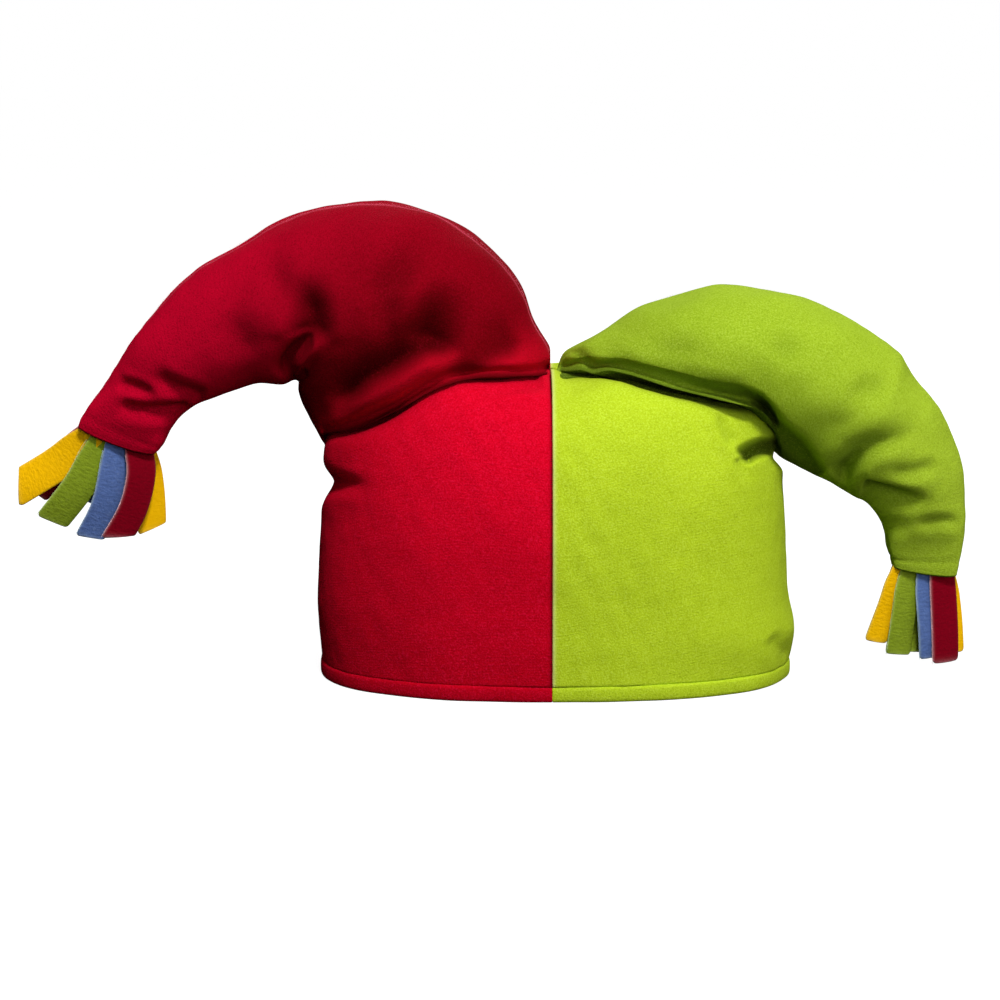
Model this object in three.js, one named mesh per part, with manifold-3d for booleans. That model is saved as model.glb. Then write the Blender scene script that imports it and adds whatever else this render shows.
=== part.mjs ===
// A soft two-horned jester hat, half red and half lime green. Its crown is a hollow cloth shell with a
// rolled rim band, and a stuffed horn sits on each half of it, flops outwards and ends in a tassel of
// fleece strips. Millimetres: X runs across the hat with the red half at -X, +Y is the back, +Z is up.
import * as THREE from 'three';
import { mergeVertices } from 'three/addons/utils/BufferGeometryUtils.js';
import Module from 'manifold-3d';

const wasm = await Module();
wasm.setup();

// Crown
const crownWidth = 214; // side to side above the rim
const crownDepth = 136; // front to back at the rim
const crownHeight = 144; // floor to the top of the centre seam
const crownWall = 3; // outer cloth and lining together
const crownCorner = 2.35; // how square the oval is, 2 being an ellipse

// Rolled band round the rim
const bandHeight = 6.5;
const bandWall = 4;
const bandRound = 1.1; // radius of its rolled edges

// Horns: reach is past the crown's side, rise and drop are above and below the crown's top
const redReach = 104;
const redRise = 69;
const redDrop = 44;
const redDepth = 98; // front to back at the belly
const greenReach = 80;
const greenRise = 30;
const greenDrop = 100;
const greenDepth = 92;

// Tassels of flat fleece strips, in a front and a back layer
const stripLength = 46;
const stripWidth = 13.5;
const stripRootWidth = 9.5; // gathered where it is sewn in
const stripThickness = 1.8;
const stripRoot = 6; // length hidden in the tip
const stripStraight = 3; // how far a strip runs straight out of the tip before it fans
const stripRoll = 16; // degrees about its own length, so that each strip overlaps the next one
const tipWall = 2; // cloth round the mouth that holds the roots
const seamGap = 0.3; // between pieces that are sewn or lie together

// Fineness of the faceted surfaces
const crownSides = 44;
const crownRings = 16;
const hornSides = 36;
const hornRings = 32;
const stripSteps = 7;

const clothColours = { red: 0xb4061e, green: 0xa9cc1f, fleece: 0xf2b40c };
const clothRoughness = 0.92;

// Crown sections from the rim up and over the top: up is a share of the height under the ridge,
// red, green and depth are shares of the half width on each side and of the half depth.
const crownSections = [
  { up: 0, red: 0.965, green: 1.01, depth: 1 },
  { up: 0.12, red: 0.975, green: 1.032, depth: 1 },
  { up: 0.25, red: 0.98, green: 1.005, depth: 0.99 },
  { up: 0.45, red: 0.965, green: 0.985, depth: 0.98 },
  { up: 0.6, red: 0.945, green: 0.975, depth: 0.95 },
  { up: 0.73, red: 0.945, green: 0.965, depth: 0.89 },
  { up: 0.84, red: 0.955, green: 0.94, depth: 0.79 },
  { up: 0.92, red: 0.93, green: 0.89, depth: 0.65 },
  { up: 0.97, red: 0.8, green: 0.76, depth: 0.47 },
  { up: 1, red: 0.5, green: 0.48, depth: 0.26 },
  { up: 1, red: 0.1, green: 0.1, depth: 0.05 },
];

// Height of the crown's ridge from front to back under the horns, as a share of the crown's height; the
// rows are evenly spaced from the centre seam to the side.
const crest = [
  { red: 0.95, green: 0.95 },
  { red: 0.985, green: 0.98 },
  { red: 1.01, green: 1 },
  { red: 0.98, green: 1 },
  { red: 0.93, green: 0.97 },
  { red: 0.86, green: 0.9 },
];

// Horn sections from the root to the tip. Each runs from the inner line of the bend to the outer one.
// in and out are shares of the half width of the crown up to 1 and of the reach past it; inUp and outUp
// are shares of the rise above the crown's top or, below it, of the drop. depth goes from 0 at the tip
// to 1 at the belly, lean moves a section to the back by that share of its depth, and square is 2 for
// an oval section and more for a boxier one.
const redSections = [
  { in: 0.92, inUp: -1.11, out: 0, outUp: -0.5, depth: 0.8, lean: 0, square: 2 },
  { in: 0.98, inUp: -0.75, out: -0.02, outUp: -0.07, depth: 0.85, lean: 0, square: 2 },
  { in: 1.03, inUp: -0.52, out: 0.07, outUp: 0.22, depth: 0.95, lean: 0, square: 2 },
  { in: 1.05, inUp: -0.39, out: 0.135, outUp: 0.47, depth: 1, lean: 0, square: 2.1 },
  { in: 1.05, inUp: -0.32, out: 0.31, outUp: 0.75, depth: 1, lean: 0, square: 2.1 },
  { in: 1.05, inUp: -0.28, out: 0.58, outUp: 0.95, depth: 0.94, lean: 0, square: 2.1 },
  { in: 1.07, inUp: -0.28, out: 0.89, outUp: 0.95, depth: 0.86, lean: 0, square: 2 },
  { in: 1.12, inUp: -0.33, out: 1.12, outUp: 0.85, depth: 0.76, lean: -0.02, square: 2 },
  { in: 1.23, inUp: -0.32, out: 1.36, outUp: 0.65, depth: 0.64, lean: -0.05, square: 2 },
  { in: 1.35, inUp: -0.39, out: 1.56, outUp: 0.44, depth: 0.52, lean: -0.08, square: 2 },
  { in: 1.46, inUp: -0.49, out: 1.69, outUp: 0.22, depth: 0.4, lean: -0.12, square: 2 },
  { in: 1.54, inUp: -0.6, out: 1.79, outUp: 0.03, depth: 0.28, lean: -0.16, square: 2.1 },
  { in: 1.6, inUp: -0.77, out: 1.88, outUp: -0.3, depth: 0.16, lean: -0.2, square: 2.4 },
  { in: 1.64, inUp: -0.95, out: 1.97, outUp: -0.58, depth: 0.05, lean: -0.24, square: 4 },
  { in: 1.67, inUp: -1.01, out: 2, outUp: -0.72, depth: 0, lean: -0.26, square: 6 },
];
const greenSections = [
  { in: 0.86, inUp: -0.48, out: 0, outUp: -0.2, depth: 0.78, lean: 0, square: 2 },
  { in: 0.93, inUp: -0.32, out: 0.04, outUp: -0.04, depth: 0.82, lean: 0, square: 2 },
  { in: 0.93, inUp: -0.34, out: 0.16, outUp: 0.2, depth: 0.9, lean: 0, square: 2 },
  { in: 0.93, inUp: -0.37, out: 0.37, outUp: 0.67, depth: 0.97, lean: 0, square: 2.1 },
  { in: 0.93, inUp: -0.4, out: 0.61, outUp: 0.94, depth: 1, lean: 0, square: 2.1 },
  { in: 0.94, inUp: -0.43, out: 0.82, outUp: 0.97, depth: 1, lean: 0, square: 2.1 },
  { in: 0.97, inUp: -0.47, out: 1.03, outUp: 0.86, depth: 0.97, lean: 0, square: 2 },
  { in: 1.04, inUp: -0.51, out: 1.27, outUp: 0.59, depth: 0.92, lean: 0, square: 2 },
  { in: 1.15, inUp: -0.55, out: 1.48, outUp: 0.24, depth: 0.84, lean: 0, square: 2 },
  { in: 1.26, inUp: -0.59, out: 1.65, outUp: -0.05, depth: 0.75, lean: 0.02, square: 2 },
  { in: 1.36, inUp: -0.64, out: 1.81, outUp: -0.22, depth: 0.64, lean: 0.04, square: 2 },
  { in: 1.45, inUp: -0.68, out: 1.91, outUp: -0.37, depth: 0.53, lean: 0.06, square: 2 },
  { in: 1.51, inUp: -0.73, out: 1.98, outUp: -0.53, depth: 0.42, lean: 0.08, square: 2 },
  { in: 1.55, inUp: -0.8, out: 2, outUp: -0.68, depth: 0.3, lean: 0.1, square: 2.2 },
  { in: 1.57, inUp: -0.88, out: 1.99, outUp: -0.84, depth: 0.12, lean: 0.12, square: 4 },
  { in: 1.6, inUp: -0.96, out: 1.96, outUp: -1, depth: 0, lean: 0.13, square: 6 },
];

// Folds pressed into a horn, each a straight stretch as seen from the front, placed by the same shares
// as the sections. depth and width are shares of the horn's own depth. A face of round goes all round.
const redFolds = [
  { face: 'front', out: 0.91, up: -0.39, outTo: 0.7, upTo: -0.02, depth: 0.08, width: 0.1 },
  { face: 'front', out: 0.7, up: -0.02, outTo: 0.52, upTo: 0.16, depth: 0.09, width: 0.1 },
  { face: 'front', out: 0.44, up: 0.04, outTo: 0.1, upTo: 0.2, depth: 0.07, width: 0.09 },
  { face: 'front', out: 1.03, up: 0.4, outTo: 1.0, upTo: 0.16, depth: 0.05, width: 0.1 },
  { face: 'front', out: 1.05, up: 0.12, outTo: 1.12, upTo: -0.16, depth: 0.07, width: 0.09 },
  { face: 'front', out: 1.2, up: 0.73, outTo: 1.12, upTo: 0.41, depth: 0.02, width: 0.1 },
  { face: 'front', out: 0.56, up: 0.9, outTo: 0.7, upTo: 0.3, depth: 0.035, width: 0.14 },
  { face: 'front', out: 1.82, up: -0.27, outTo: 1.55, upTo: -0.43, depth: 0.025, width: 0.08 },
  { face: 'back', out: 0.9, up: -0.3, outTo: 0.5, upTo: 0.2, depth: 0.07, width: 0.1 },
  { face: 'back', out: 1.02, up: 0.3, outTo: 1.1, upTo: -0.1, depth: 0.06, width: 0.1 },
  { face: 'back', out: 0.35, up: 0.75, outTo: 0.6, upTo: 0.35, depth: 0.03, width: 0.12 },
];
const greenFolds = [
  { face: 'front', out: 1.76, up: -0.31, outTo: 1.36, upTo: -0.51, depth: 0.07, width: 0.09 },
  { face: 'front', out: 1.46, up: -0.62, outTo: 1.72, upTo: -0.65, depth: 0.035, width: 0.08 },
  { face: 'front', out: 0.38, up: 0.29, outTo: 0.74, upTo: 0.18, depth: 0.03, width: 0.14 },
  { face: 'front', out: 0.97, up: 0.37, outTo: 1.27, upTo: -0.02, depth: 0.03, width: 0.12 },
  { face: 'front', out: 0.85, up: -0.12, outTo: 1.2, upTo: -0.47, depth: 0.06, width: 0.09 },
  { face: 'back', out: 1.7, up: -0.33, outTo: 1.38, upTo: -0.5, depth: 0.06, width: 0.1 },
  { face: 'back', out: 1.02, up: 0.1, outTo: 1.15, upTo: -0.35, depth: 0.05, width: 0.1 },
];

// Folds pressed into the crown, placed by shares of its half width and height and with depth and width
// as shares of its depth.
const redCrownFolds = [
  { face: 'round', out: 1.1, up: 0.6, outTo: 0.86, upTo: 0.6, depth: 0.045, width: 0.06 },
  { face: 'front', out: 0.8, up: 0.6, outTo: 0.62, upTo: 0.66, depth: 0.015, width: 0.06 },
  { face: 'front', out: 0.36, up: 0.9, outTo: 0.1, upTo: 0.95, depth: 0.012, width: 0.04 },
];
const greenCrownFolds = [
  { face: 'round', out: 1.05, up: 0.67, outTo: 0.84, upTo: 0.69, depth: 0.055, width: 0.055 },
  { face: 'front', out: 0.72, up: 0.88, outTo: 0.79, upTo: 0.74, depth: 0.02, width: 0.04 },
  { face: 'front', out: 0.92, up: 0.13, outTo: 1.03, upTo: 0.06, depth: 0.015, width: 0.05 },
];
const foldLip = 0.3; // height of the lip beside a fold, as a share of its depth
const foldLipAt = 1.9; // and where it stands, in fold widths

// Strips of a tassel, layer by layer from the outer edge of the tip inwards. angle is measured from the
// way the horn points, positive outwards, curl is how much a strip turns by its end, and length is a
// share of the strips' length.
const redTassel = [
  { layer: 'front', slot: 0, angle: 30, curl: 3, length: 1.04 },
  { layer: 'front', slot: 1, angle: 12, curl: 4, length: 1 },
  { layer: 'front', slot: 2, angle: -10, curl: 10, length: 1 },
  { layer: 'front', slot: 3, angle: -24, curl: 30, length: 0.97 },
  { layer: 'back', slot: 0, angle: 31, curl: -10, length: 0.9 },
  { layer: 'back', slot: 1, angle: 9, curl: 0, length: 0.86 },
  { layer: 'back', slot: 2, angle: -8, curl: 3, length: 0.88 },
  { layer: 'back', slot: 3, angle: -20, curl: 2, length: 0.86 },
];
const greenTassel = [
  { layer: 'front', slot: 0, angle: 8, curl: -3, length: 0.96 },
  { layer: 'front', slot: 1, angle: 5, curl: 0, length: 0.88 },
  { layer: 'front', slot: 2, angle: 0, curl: -2, length: 0.84 },
  { layer: 'front', slot: 3, angle: -12, curl: -2, length: 0.8 },
  { layer: 'back', slot: 0, angle: 15, curl: 2, length: 0.86 },
  { layer: 'back', slot: 1, angle: 8, curl: 0, length: 0.84 },
  { layer: 'back', slot: 2, angle: 0, curl: 0, length: 0.84 },
  { layer: 'back', slot: 3, angle: -10, curl: -2, length: 0.8 },
];
const stripsInLayer = 4;

// The value of one column at a place between two rows, on a smooth curve through all the rows.
function columnAt(rows, place, column) {
  const row = Math.min(Math.floor(place), rows.length - 2);
  const value = (i) => rows[THREE.MathUtils.clamp(i, 0, rows.length - 1)][column];
  const [before, from, to, after] = [value(row - 1), value(row), value(row + 1), value(row + 2)];
  const t = place - row;
  const linear = (to - before) * t;
  const quadratic = (2 * before - 5 * from + 4 * to - after) * t ** 2;
  const cubic = (after - 3 * to + 3 * from - before) * t ** 3;
  return from + (linear + quadratic + cubic) / 2;
}

// Cosine and sine bent towards a square by an exponent of 2 or more.
function ovalDirection(angle, square) {
  const bend = (value) => Math.sign(value) * Math.abs(value) ** (2 / square);
  return [bend(Math.cos(angle)), bend(Math.sin(angle))];
}

// One closed body through rings of equally many points, with a fan of triangles on each end.
function loft(rings) {
  const around = rings[0].length;
  const middle = (ring) => ring.reduce((sum, p) => sum.add(p), new THREE.Vector3()).divideScalar(around);
  const points = [...rings.flat(), middle(rings[0]), middle(rings.at(-1))];
  const last = (rings.length - 1) * around;
  const faces = [];
  for (let j = 0; j < around; j++) {
    const next = (j + 1) % around;
    for (let start = 0; start < last; start += around) {
      const [a, b] = [start + j, start + next];
      faces.push([a, b, b + around], [a, b + around, a + around]);
    }
    faces.push([next, j, points.length - 2], [last + j, last + next, points.length - 1]);
  }
  const geometry = new THREE.BufferGeometry().setFromPoints(points);
  geometry.setIndex(faces.flat());
  if (signedVolume(points, faces) < 0) geometry.setIndex(faces.map(([a, b, c]) => [a, c, b]).flat());
  geometry.computeVertexNormals();
  return geometry;
}

function signedVolume(points, faces) {
  const turn = new THREE.Vector3();
  const sixth = ([a, b, c]) => points[a].dot(turn.crossVectors(points[b], points[c])) / 6;
  return faces.reduce((sum, face) => sum + sixth(face), 0);
}

// Moves each point of a surface along its normal by what far(place, normal) says.
function pushed(geometry, far) {
  const moved = geometry.clone();
  const position = moved.attributes.position;
  const normal = geometry.attributes.normal;
  const [place, facing] = [new THREE.Vector3(), new THREE.Vector3()];
  for (let i = 0; i < position.count; i++) {
    place.fromBufferAttribute(position, i);
    facing.fromBufferAttribute(normal, i);
    place.addScaledVector(facing, far(place, facing));
    position.setXYZ(i, place.x, place.y, place.z);
  }
  moved.computeVertexNormals();
  return moved;
}

// How far a fold moves a place on the surface: a valley along a stretch, with a lip on both sides.
function foldPush(fold, place, facing) {
  const toFace = { front: -facing.y, back: facing.y, round: 1 }[fold.face];
  const share = THREE.MathUtils.smoothstep(toFace, -0.15, 0.4);
  const stretch = fold.to.clone().sub(fold.from);
  const seen = new THREE.Vector2(place.x, place.z).sub(fold.from);
  const along = THREE.MathUtils.clamp(seen.dot(stretch) / stretch.lengthSq(), 0, 1);
  const away = seen.addScaledVector(stretch, -along).length() / fold.width;
  return fold.depth * share * (foldLip * Math.exp(-((away - foldLipAt) ** 2)) - Math.exp(-(away ** 2)));
}

function withFolds(geometry, folds) {
  return pushed(geometry, (place, facing) =>
    folds.reduce((sum, fold) => sum + foldPush(fold, place, facing), 0));
}

// A three.js geometry as a solid to cut, and back.
function solidOf(geometry) {
  const bare = new THREE.BufferGeometry().setAttribute('position', geometry.attributes.position);
  if (geometry.index) bare.setIndex(geometry.index);
  const merged = mergeVertices(bare);
  const vertProperties = merged.attributes.position.array;
  const triVerts = new Uint32Array(merged.index.array);
  return new wasm.Manifold(new wasm.Mesh({ numProp: 3, vertProperties, triVerts }));
}

function geometryOf(solid) {
  const { vertProperties, triVerts } = solid.getMesh();
  const geometry = new THREE.BufferGeometry();
  geometry.setAttribute('position', new THREE.BufferAttribute(vertProperties, 3));
  geometry.setIndex(new THREE.BufferAttribute(triVerts, 1));
  geometry.computeVertexNormals();
  return geometry;
}

// A block wider than the hat that keeps one side of the centre seam, from a given height up.
const farAway = 4 * Math.max(crownWidth, crownHeight, redReach, greenReach);
function sideBlock(side, bottom) {
  const block = new THREE.BoxGeometry(farAway, farAway, farAway);
  return solidOf(block.translate(side * (farAway / 2 + seamGap / 2), 0, bottom + farAway / 2));
}

const sides = { red: -1, green: 1 };
const halfWidth = crownWidth / 2;
const halfDepth = crownDepth / 2;
const wallFoot = bandHeight + seamGap;

function crestHeight(x) {
  const side = x < 0 ? 'red' : 'green';
  const place = Math.min(Math.abs(x) / halfWidth, 1) * (crest.length - 1);
  return crownHeight * columnAt(crest, place, side);
}

// A ring of points round the crown, at a place between two rows of its table.
function crownRing(place, drop = 0) {
  const columns = ['red', 'green', 'depth', 'up'];
  const [red, green, depth, up] = columns.map((column) => columnAt(crownSections, place, column));
  return Array.from({ length: crownSides }, (_, j) => {
    const [across, back] = ovalDirection((2 * Math.PI * (j + 0.5)) / crownSides, crownCorner);
    const x = halfWidth * across * (across < 0 ? red : green);
    const y = halfDepth * depth * back;
    return new THREE.Vector3(x, y, drop ? -drop : wallFoot + up * (crestHeight(x) - wallFoot));
  });
}

function crownFold(fold, side) {
  const spot = (out, up) => new THREE.Vector2(sides[side] * halfWidth * out, crownHeight * up);
  const [from, to] = [spot(fold.out, fold.up), spot(fold.outTo, fold.upTo)];
  return { face: fold.face, from, to, depth: crownDepth * fold.depth, width: crownDepth * fold.width };
}

// The crown as a filled form, from below the floor up; the wall, the hollow and the horns' seats are
// all offsets of it.
const lastRow = crownSections.length - 1;
const ringPlaces = Array.from({ length: crownRings }, (_, i) => (lastRow * i) / (crownRings - 1));
const crownFolds = [
  ...redCrownFolds.map((fold) => crownFold(fold, 'red')),
  ...greenCrownFolds.map((fold) => crownFold(fold, 'green')),
];
const crownUp = ringPlaces.map((place) => crownRing(place));
const crownForm = withFolds(loft([crownRing(0, crownHeight), ...crownUp]), crownFolds);
const crownSolid = solidOf(crownForm);
const crownHollow = solidOf(pushed(crownForm, () => -crownWall));
const crownSeat = solidOf(pushed(crownForm, () => seamGap));

function crownHalf(side) {
  return crownSolid.subtract(crownHollow).intersect(sideBlock(sides[side], wallFoot));
}

// Half of the band under the crown's wall: a rounded section with a flat foot, carried round the rim.
function rimBand(side) {
  const inner = -(crownWall + bandWall) / 2;
  const section = new THREE.Path();
  section.absarc(inner + bandWall - bandRound, bandRound, bandRound, -Math.PI / 2, 0);
  section.absarc(inner + bandWall - bandRound, bandHeight - bandRound, bandRound, 0, Math.PI / 2);
  section.absarc(inner + bandRound, bandHeight - bandRound, bandRound, Math.PI / 2, Math.PI);
  section.absarc(inner + bandRound, bandRound, bandRound, Math.PI, 1.5 * Math.PI);
  const corners = section.getPoints(1);
  const foot = crownRing(0);
  const outward = (j) => {
    const [before, after] = [foot.at(j - 1), foot[(j + 1) % crownSides]];
    return new THREE.Vector3(after.y - before.y, before.x - after.x, 0).normalize();
  };
  const loops = corners.map(({ x, y }) =>
    foot.map((p, j) => p.clone().addScaledVector(outward(j), x).setZ(y)));
  return solidOf(tubeOf(loops)).intersect(sideBlock(sides[side], -bandHeight));
}

// A ring-shaped body through closed loops, the last of which joins the first.
function tubeOf(loops) {
  const around = loops[0].length;
  const points = loops.flat();
  const faces = [];
  loops.forEach((_, i) => {
    for (let j = 0; j < around; j++) {
      const [a, b] = [i * around + j, i * around + ((j + 1) % around)];
      const up = (k) => (k + around) % points.length;
      faces.push([a, b, up(b)], [a, up(b), up(a)]);
    }
  });
  const outward = signedVolume(points, faces) > 0;
  const geometry = new THREE.BufferGeometry().setFromPoints(points);
  return geometry.setIndex(faces.map(([a, b, c]) => (outward ? [a, b, c] : [a, c, b])).flat());
}

const horns = {
  red: {
    sections: redSections,
    folds: redFolds,
    tassel: redTassel,
    reach: redReach,
    rise: redRise,
    drop: redDrop,
    depth: redDepth,
  },
  green: {
    sections: greenSections,
    folds: greenFolds,
    tassel: greenTassel,
    reach: greenReach,
    rise: greenRise,
    drop: greenDrop,
    depth: greenDepth,
  },
};

// Where a pair of shares lies in the plane of the horns.
function hornSpot(side, out, up) {
  const { reach, rise, drop } = horns[side];
  const x = out <= 1 ? out * halfWidth : halfWidth + (out - 1) * reach;
  return new THREE.Vector2(sides[side] * x, crownHeight + up * (up >= 0 ? rise : drop));
}

// The tip's frame: its middle, the way along its edge to the outer corner, and the way out of it.
function tipFrame(side) {
  const last = horns[side].sections.at(-1);
  const inner = hornSpot(side, last.in, last.inUp);
  const outer = hornSpot(side, last.out, last.outUp);
  const across = outer.clone().sub(inner);
  const width = across.length();
  across.divideScalar(width);
  const down = new THREE.Vector2(across.y, -across.x).multiplyScalar(sides[side]);
  const roll = THREE.MathUtils.degToRad(stripRoll);
  const [flat, tilted] = [Math.cos(roll), Math.sin(roll)];
  const rolledWidth = stripRootWidth * flat + stripThickness * tilted;
  const pitch = (width - 2 * tipWall - 2 * seamGap - rolledWidth) / (stripsInLayer - 1);
  const layerDepth = stripRootWidth * tilted + stripThickness * flat + seamGap;
  const middle = inner.clone().lerp(outer, 0.5);
  const halfDepth = layerDepth + seamGap + tipWall;
  const y = last.lean * halfDepth;
  return { middle, y, across, down, width, pitch, flat, tilted, layerDepth, halfDepth };
}

const onPlane = ({ x, y }, back) => new THREE.Vector3(x, back, y);

function hornRing(side, place) {
  const { sections, depth } = horns[side];
  const row = Object.fromEntries(Object.keys(sections[0]).map((c) => [c, columnAt(sections, place, c)]));
  const inner = hornSpot(side, row.in, row.inUp);
  const outer = hornSpot(side, row.out, row.outUp);
  const tip = tipFrame(side);
  const halfThick = tip.halfDepth + row.depth * (depth / 2 - tip.halfDepth);
  const middle = inner.clone().lerp(outer, 0.5);
  return Array.from({ length: hornSides }, (_, j) => {
    const [across, back] = ovalDirection((2 * Math.PI * j) / hornSides, row.square);
    const spot = middle.clone().lerp(outer, across);
    return onPlane(spot, halfThick * (back + row.lean));
  });
}

// A box in the tip's frame: so far along its edge and to the back from the middle, and from one place
// to another out of the tip.
function tipBlock(tip, halfAcross, halfBack, from, to) {
  const corners = [[-1, -1], [1, -1], [1, 1], [-1, 1]];
  return solidOf(loft([from, to].map((out) =>
    corners.map(([across, back]) => tipPoint(tip, across * halfAcross, back * halfBack, out)))));
}

function tipPoint(tip, across, back, out) {
  const spot = tip.middle.clone().addScaledVector(tip.across, across).addScaledVector(tip.down, out);
  return onPlane(spot, tip.y + back);
}

function horn(side) {
  const { sections, folds, depth } = horns[side];
  const lastSection = sections.length - 1;
  const places = Array.from({ length: hornRings }, (_, i) => (lastSection * i) / (hornRings - 1));
  const rings = places.map((place) => hornRing(side, place));
  const pressed = folds.map((fold) => ({
    face: fold.face,
    from: hornSpot(side, fold.out, fold.up),
    to: hornSpot(side, fold.outTo, fold.upTo),
    depth: depth * fold.depth,
    width: depth * fold.width,
  }));
  const form = solidOf(withFolds(loft(rings), pressed));
  const tip = tipFrame(side);
  const mouth = tipBlock(tip, tip.width / 2 - tipWall, tip.halfDepth - tipWall, -stripRoot, stripRoot);
  return form.subtract(crownSeat).subtract(mouth).intersect(sideBlock(sides[side], wallFoot));
}

// A flat strip that starts in the mouth, runs straight out of it, fans out by its angle and curls by
// the end.
function strip(tip, row) {
  const step = (stripLength * row.length - stripStraight) / stripSteps;
  const place = new THREE.Vector2(((stripsInLayer - 1) / 2 - row.slot) * tip.pitch, -stripRoot / 2);
  const back = (row.layer === 'front' ? -1 : 1) * (tip.layerDepth / 2);
  const ring = (angle, width) =>
    [[-1, -1], [1, -1], [1, 1], [-1, 1]].map(([wide, thick]) => {
      const sideways = (wide * width * tip.flat - thick * stripThickness * tip.tilted) / 2;
      const backward = (wide * width * tip.tilted + thick * stripThickness * tip.flat) / 2;
      const across = place.x + sideways * Math.cos(angle);
      return tipPoint(tip, across, back + backward, place.y - sideways * Math.sin(angle));
    });
  const rings = [ring(0, stripRootWidth)];
  place.y = stripStraight;
  for (let i = 0; i <= stripSteps; i++) {
    const along = i / stripSteps;
    const angle = THREE.MathUtils.degToRad(row.angle + row.curl * along);
    rings.push(ring(angle, THREE.MathUtils.lerp(stripRootWidth, stripWidth, Math.min(1, 2 * along))));
    place.add(new THREE.Vector2(Math.sin(angle), Math.cos(angle)).multiplyScalar(step));
  }
  return solidOf(loft(rings));
}

// A tassel: its strips fused to their sewn roots, which fill the mouth of the tip.
function tassel(side) {
  const tip = tipFrame(side);
  const halfAcross = tip.width / 2 - tipWall - seamGap;
  const head = tipBlock(tip, halfAcross, tip.layerDepth, -stripRoot + seamGap, 0);
  return horns[side].tassel.reduce((joined, row) => joined.add(strip(tip, row)), head);
}

const hat = new THREE.Group();
const pieces = new THREE.Group();
hat.add(pieces);

function addPiece(name, geometry, colour) {
  const color = clothColours[colour];
  const material = new THREE.MeshStandardMaterial({ color, roughness: clothRoughness });
  const mesh = new THREE.Mesh(geometry, material);
  mesh.name = name;
  pieces.add(mesh);
}

for (const side of Object.keys(sides)) {
  addPiece(`crown_${side}`, geometryOf(crownHalf(side)), side);
  addPiece(`rim_band_${side}`, geometryOf(rimBand(side)), side);
  addPiece(`horn_${side}`, geometryOf(horn(side)), side);
  addPiece(`tassel_${side}`, geometryOf(tassel(side)), 'fleece');
}

// The origin is at the middle of the whole hat's footprint, on the floor.
const extent = new THREE.Box3().setFromObject(pieces, true);
const middle = extent.getCenter(new THREE.Vector3());
pieces.position.set(-middle.x, -middle.y, -extent.min.z);

export default hat;
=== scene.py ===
import math
import bpy
import numpy as np
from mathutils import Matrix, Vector
from mathutils.bvhtree import BVHTree


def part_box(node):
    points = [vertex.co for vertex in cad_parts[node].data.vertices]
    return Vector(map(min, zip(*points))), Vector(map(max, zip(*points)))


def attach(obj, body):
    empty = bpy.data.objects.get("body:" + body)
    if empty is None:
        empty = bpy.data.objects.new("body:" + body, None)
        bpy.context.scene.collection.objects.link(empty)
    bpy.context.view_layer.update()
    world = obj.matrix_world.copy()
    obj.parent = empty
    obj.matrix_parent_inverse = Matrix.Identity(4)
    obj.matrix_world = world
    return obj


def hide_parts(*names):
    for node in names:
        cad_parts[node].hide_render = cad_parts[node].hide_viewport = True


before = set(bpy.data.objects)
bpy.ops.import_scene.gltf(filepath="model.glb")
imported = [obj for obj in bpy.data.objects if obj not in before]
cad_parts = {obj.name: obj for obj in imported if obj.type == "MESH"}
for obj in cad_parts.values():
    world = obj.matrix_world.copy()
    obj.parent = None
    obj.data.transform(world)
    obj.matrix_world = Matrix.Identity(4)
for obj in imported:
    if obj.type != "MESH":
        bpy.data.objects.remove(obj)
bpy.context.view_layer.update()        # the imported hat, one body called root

mm = 0.001
sides = {"red": -1, "green": 1}
seamX = (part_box("crown_red")[1].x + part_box("crown_green")[0].x) / 2
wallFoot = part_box("crown_red")[0].z
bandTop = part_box("rim_band_red")[1].z

# The camera stands where the photograph was taken. Fold paths further down are pixels of its picture.
view = {"distance": 1200 * mm, "elevation": 9, "aim": (5.8 * mm, 0, 77.5 * mm), "lens": 96, "sensor": 36}
pictureWidth = 1000


def eyePlace():
    rise = math.radians(view["elevation"])
    back = Vector((0, -math.cos(rise), math.sin(rise))) * view["distance"]
    return Vector(view["aim"]) + back


def pictureSpots(points):
    rise = math.radians(view["elevation"])
    offset = points - np.array(eyePlace())
    ahead = offset @ np.array((0, math.cos(rise), -math.sin(rise)))
    up = offset @ np.array((0, math.sin(rise), math.cos(rise)))
    scale = view["lens"] / view["sensor"] * pictureWidth / ahead
    half = pictureWidth / 2
    return np.stack([half + offset[..., 0] * scale, half - up * scale], axis=-1)


def pictureToSpace(x, y, depth):
    # where the sight line through a pixel meets the upright plane at a depth
    rise = math.radians(view["elevation"])
    scale = view["lens"] / view["sensor"] * pictureWidth
    half = pictureWidth / 2
    way = Vector((0, math.cos(rise), -math.sin(rise)))
    way += Vector(((x - half) / scale, 0, 0)) + Vector((0, math.sin(rise), math.cos(rise))) * ((half - y) / scale)
    eye = eyePlace()
    return np.array(eye + way * ((depth - eye.y) / way.y))


def smoothstep(low, high, value):
    share = np.clip((value - low) / (high - low), 0, 1)
    return share * share * (3 - 2 * share)


def smoothRows(rows, place):
    # a smooth curve through all rows of a table, read at one or many places
    rows = np.asarray(rows, float)
    place = np.atleast_1d(place)
    row = np.clip(np.floor(place).astype(int), 0, len(rows) - 2)
    t = (place - row)[:, None]
    before, start, end, after = [rows[np.clip(row + k, 0, len(rows) - 1)] for k in (-1, 0, 1, 2)]
    bent = (2 * before - 5 * start + 4 * end - after) * t ** 2
    return start + ((end - before) * t + bent + (after - 3 * end + 3 * start - before) * t ** 3) / 2


def bend(value, square):
    return np.sign(value) * np.abs(value) ** (2 / square)


def unit(vectors):
    return vectors / np.maximum(np.linalg.norm(vectors, axis=-1, keepdims=True), 1e-12)


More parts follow.
